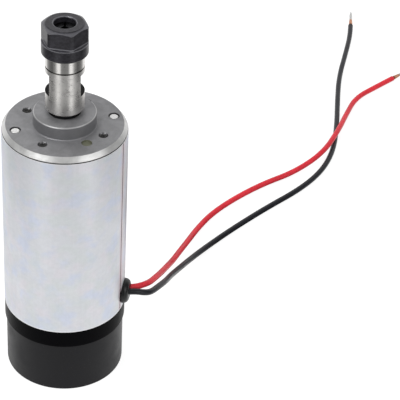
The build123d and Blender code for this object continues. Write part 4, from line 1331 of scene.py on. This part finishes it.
@dataclass
class Studio:
    """The camera, a pale floor, a white surround and soft lights."""

    effects: Effects
    camera_place: Place = (0.0, -0.629816, 0.551857)   # metres
    camera_tilt: float = 36.620                        # degrees below level
    camera_aside: float = -0.07236                     # tangent of its turn to the left
    lens: float = 168.07
    sensor: float = 36.0
    clip: Span = (0.05, 20.0)                          # metres
    lights: tuple[SoftLight, ...] = (SoftLight("key_light", (-0.75, -0.45, 1.15), 0.7, 7.0),
                                     SoftLight("fill_light", (0.95, -0.75, 0.7), 0.8, 3.5),
                                     SoftLight("back_light", (-0.35, 0.75, 1.35), 0.8, 3.0))
    floor_half: float = 3.0                            # metres
    floor_colour: Colour = (0.72, 0.72, 0.72)
    floor_glow: float = 0.86                           # what the camera sees of it without light
    shadow_colour: Colour = (0.3, 0.3, 0.3)            # how much of the lights comes on top
    near_glow: float = 0.95                            # what metal sees of the floor round the motor
    near_edge: Span = (176.0, 194.0)
    floor_behind: float = 1.0                          # the floor's brightness behind, to metal
    flag: Spot = (70.0, 122.0)                         # middle of a dark patch that only metal sees
    flag_edge: Span = (42.0, 58.8)
    flag_glow: float = 0.06
    fill: float = 0.6                                  # the world's light on dull surfaces
    world_behind: float = 0.95                         # the world's brightness behind, to metal

    def build(self) -> None:
        """Make everything that is not the motor."""
        self.camera()
        self.floor()
        self.world()
        for light in self.lights:
            light.build()

    def camera(self) -> None:
        """Aim the camera by its tilt below level and its small turn aside."""
        data = bpy.data.cameras.new("camera")
        data.lens, data.sensor_width = self.lens, self.sensor
        data.clip_start, data.clip_end = self.clip
        tilt = math.radians(self.camera_tilt)
        level, down = Vector((1, 0, 0)), Vector((0, math.cos(tilt), -math.sin(tilt)))
        length = math.hypot(1.0, self.camera_aside)
        right = (level + self.camera_aside * down) / length
        ahead = (down - self.camera_aside * level) / length
        up = right.cross(ahead)
        camera = linked("camera", data)
        camera.matrix_world = (Matrix.Translation(self.camera_place)
                               @ Matrix((right, up, -ahead)).transposed().to_4x4())
        bpy.context.scene.camera = camera

    def floor(self) -> None:
        """Lay a square floor."""
        half = self.floor_half
        mesh = bpy.data.meshes.new("floor")
        mesh.from_pydata([(-half, -half, 0), (half, -half, 0), (half, half, 0), (-half, half, 0)], [],
                         [(0, 1, 2, 3)])
        floor = linked("floor", mesh)
        mesh.materials.append(self.floor_material())

    def floor_material(self) -> bpy.types.Material:
        """Make the floor pale with a faint shadow to the camera, and a studio to metal.

        Returns:
            The new material.
        """
        material = bpy.data.materials.new("pale_floor")
        material.use_nodes = True
        graph = Graph(material.node_tree)
        material.node_tree.nodes.remove(material.node_tree.nodes["Principled BSDF"])
        point = graph.scaled(graph.out("TexCoord", output="Object"), 1 / MM)
        radius = graph.use(self.effects.place, {"Vector": point})["Radius"]
        strips = graph.use(self.effects.surround, {"Vector": point, "Behind": self.floor_behind})
        seen = graph.level(radius.ease(*self.near_edge), self.near_glow, strips["Brightness"])
        flag = graph.use(self.effects.spot, {"Vector": point, "X": self.flag[0], "Y": self.flag[1]})
        seen = graph.level(flag["Distance"].ease(*self.flag_edge), self.flag_glow, seen)
        mirrored, camera = self.rays(graph)
        glow = graph.out("Emission", {"Strength": self.floor_glow})
        shadow = graph.out("BsdfDiffuse", {"Color": self.shadow_colour})
        shown = graph.out("AddShader", {0: glow, 1: shadow})
        dull = graph.out("BsdfDiffuse", {"Color": self.floor_colour})
        reflected = graph.out("Emission", {"Strength": seen})
        other = graph.out("MixShader", {0: mirrored, 1: dull, 2: reflected})
        final = graph.out("MixShader", {0: camera, 1: other, 2: shown})
        graph.feed(material.node_tree.nodes["Material Output"].inputs["Surface"], final)
        return material

    def world(self) -> None:
        """Show white to the camera, the studio to metal, and an even soft fill to everything else."""
        world = bpy.data.worlds.new("studio")
        bpy.context.scene.world = world
        world.use_nodes = True
        graph = Graph(world.node_tree)
        strips = graph.use(self.effects.surround, {"Vector": graph.out("TexCoord", output="Generated"),
                                                   "Behind": self.world_behind})
        mirrored, camera = self.rays(graph)
        strength = graph.level(mirrored, self.fill, strips["Brightness"])
        background = world.node_tree.nodes["Background"].inputs
        graph.feed(background["Color"], (1.0, 1.0, 1.0))
        graph.feed(background["Strength"], graph.level(camera, strength, 1.0))

    def rays(self, graph: Graph) -> tuple[Signal, Signal]:
        """Return a mask of what metal and glass see, and a mask of what the camera sees."""
        path = graph.signals(graph.add("LightPath").outputs)
        return path["Is Glossy Ray"] | path["Is Transmission Ray"], path["Is Camera Ray"]


def main() -> None:
    """Build the studio and dress every sub-assembly, the leads first."""
    logging.basicConfig(level=logging.INFO, format="%(name)s %(message)s")
    bpy.context.scene.view_settings.view_transform = "Standard"
    effects = Effects()
    Studio(effects).build()
    for kind in (Leads, Housing, Rotor, Chuck):
        kind(effects).build()


if __name__ == "__main__":
    main()
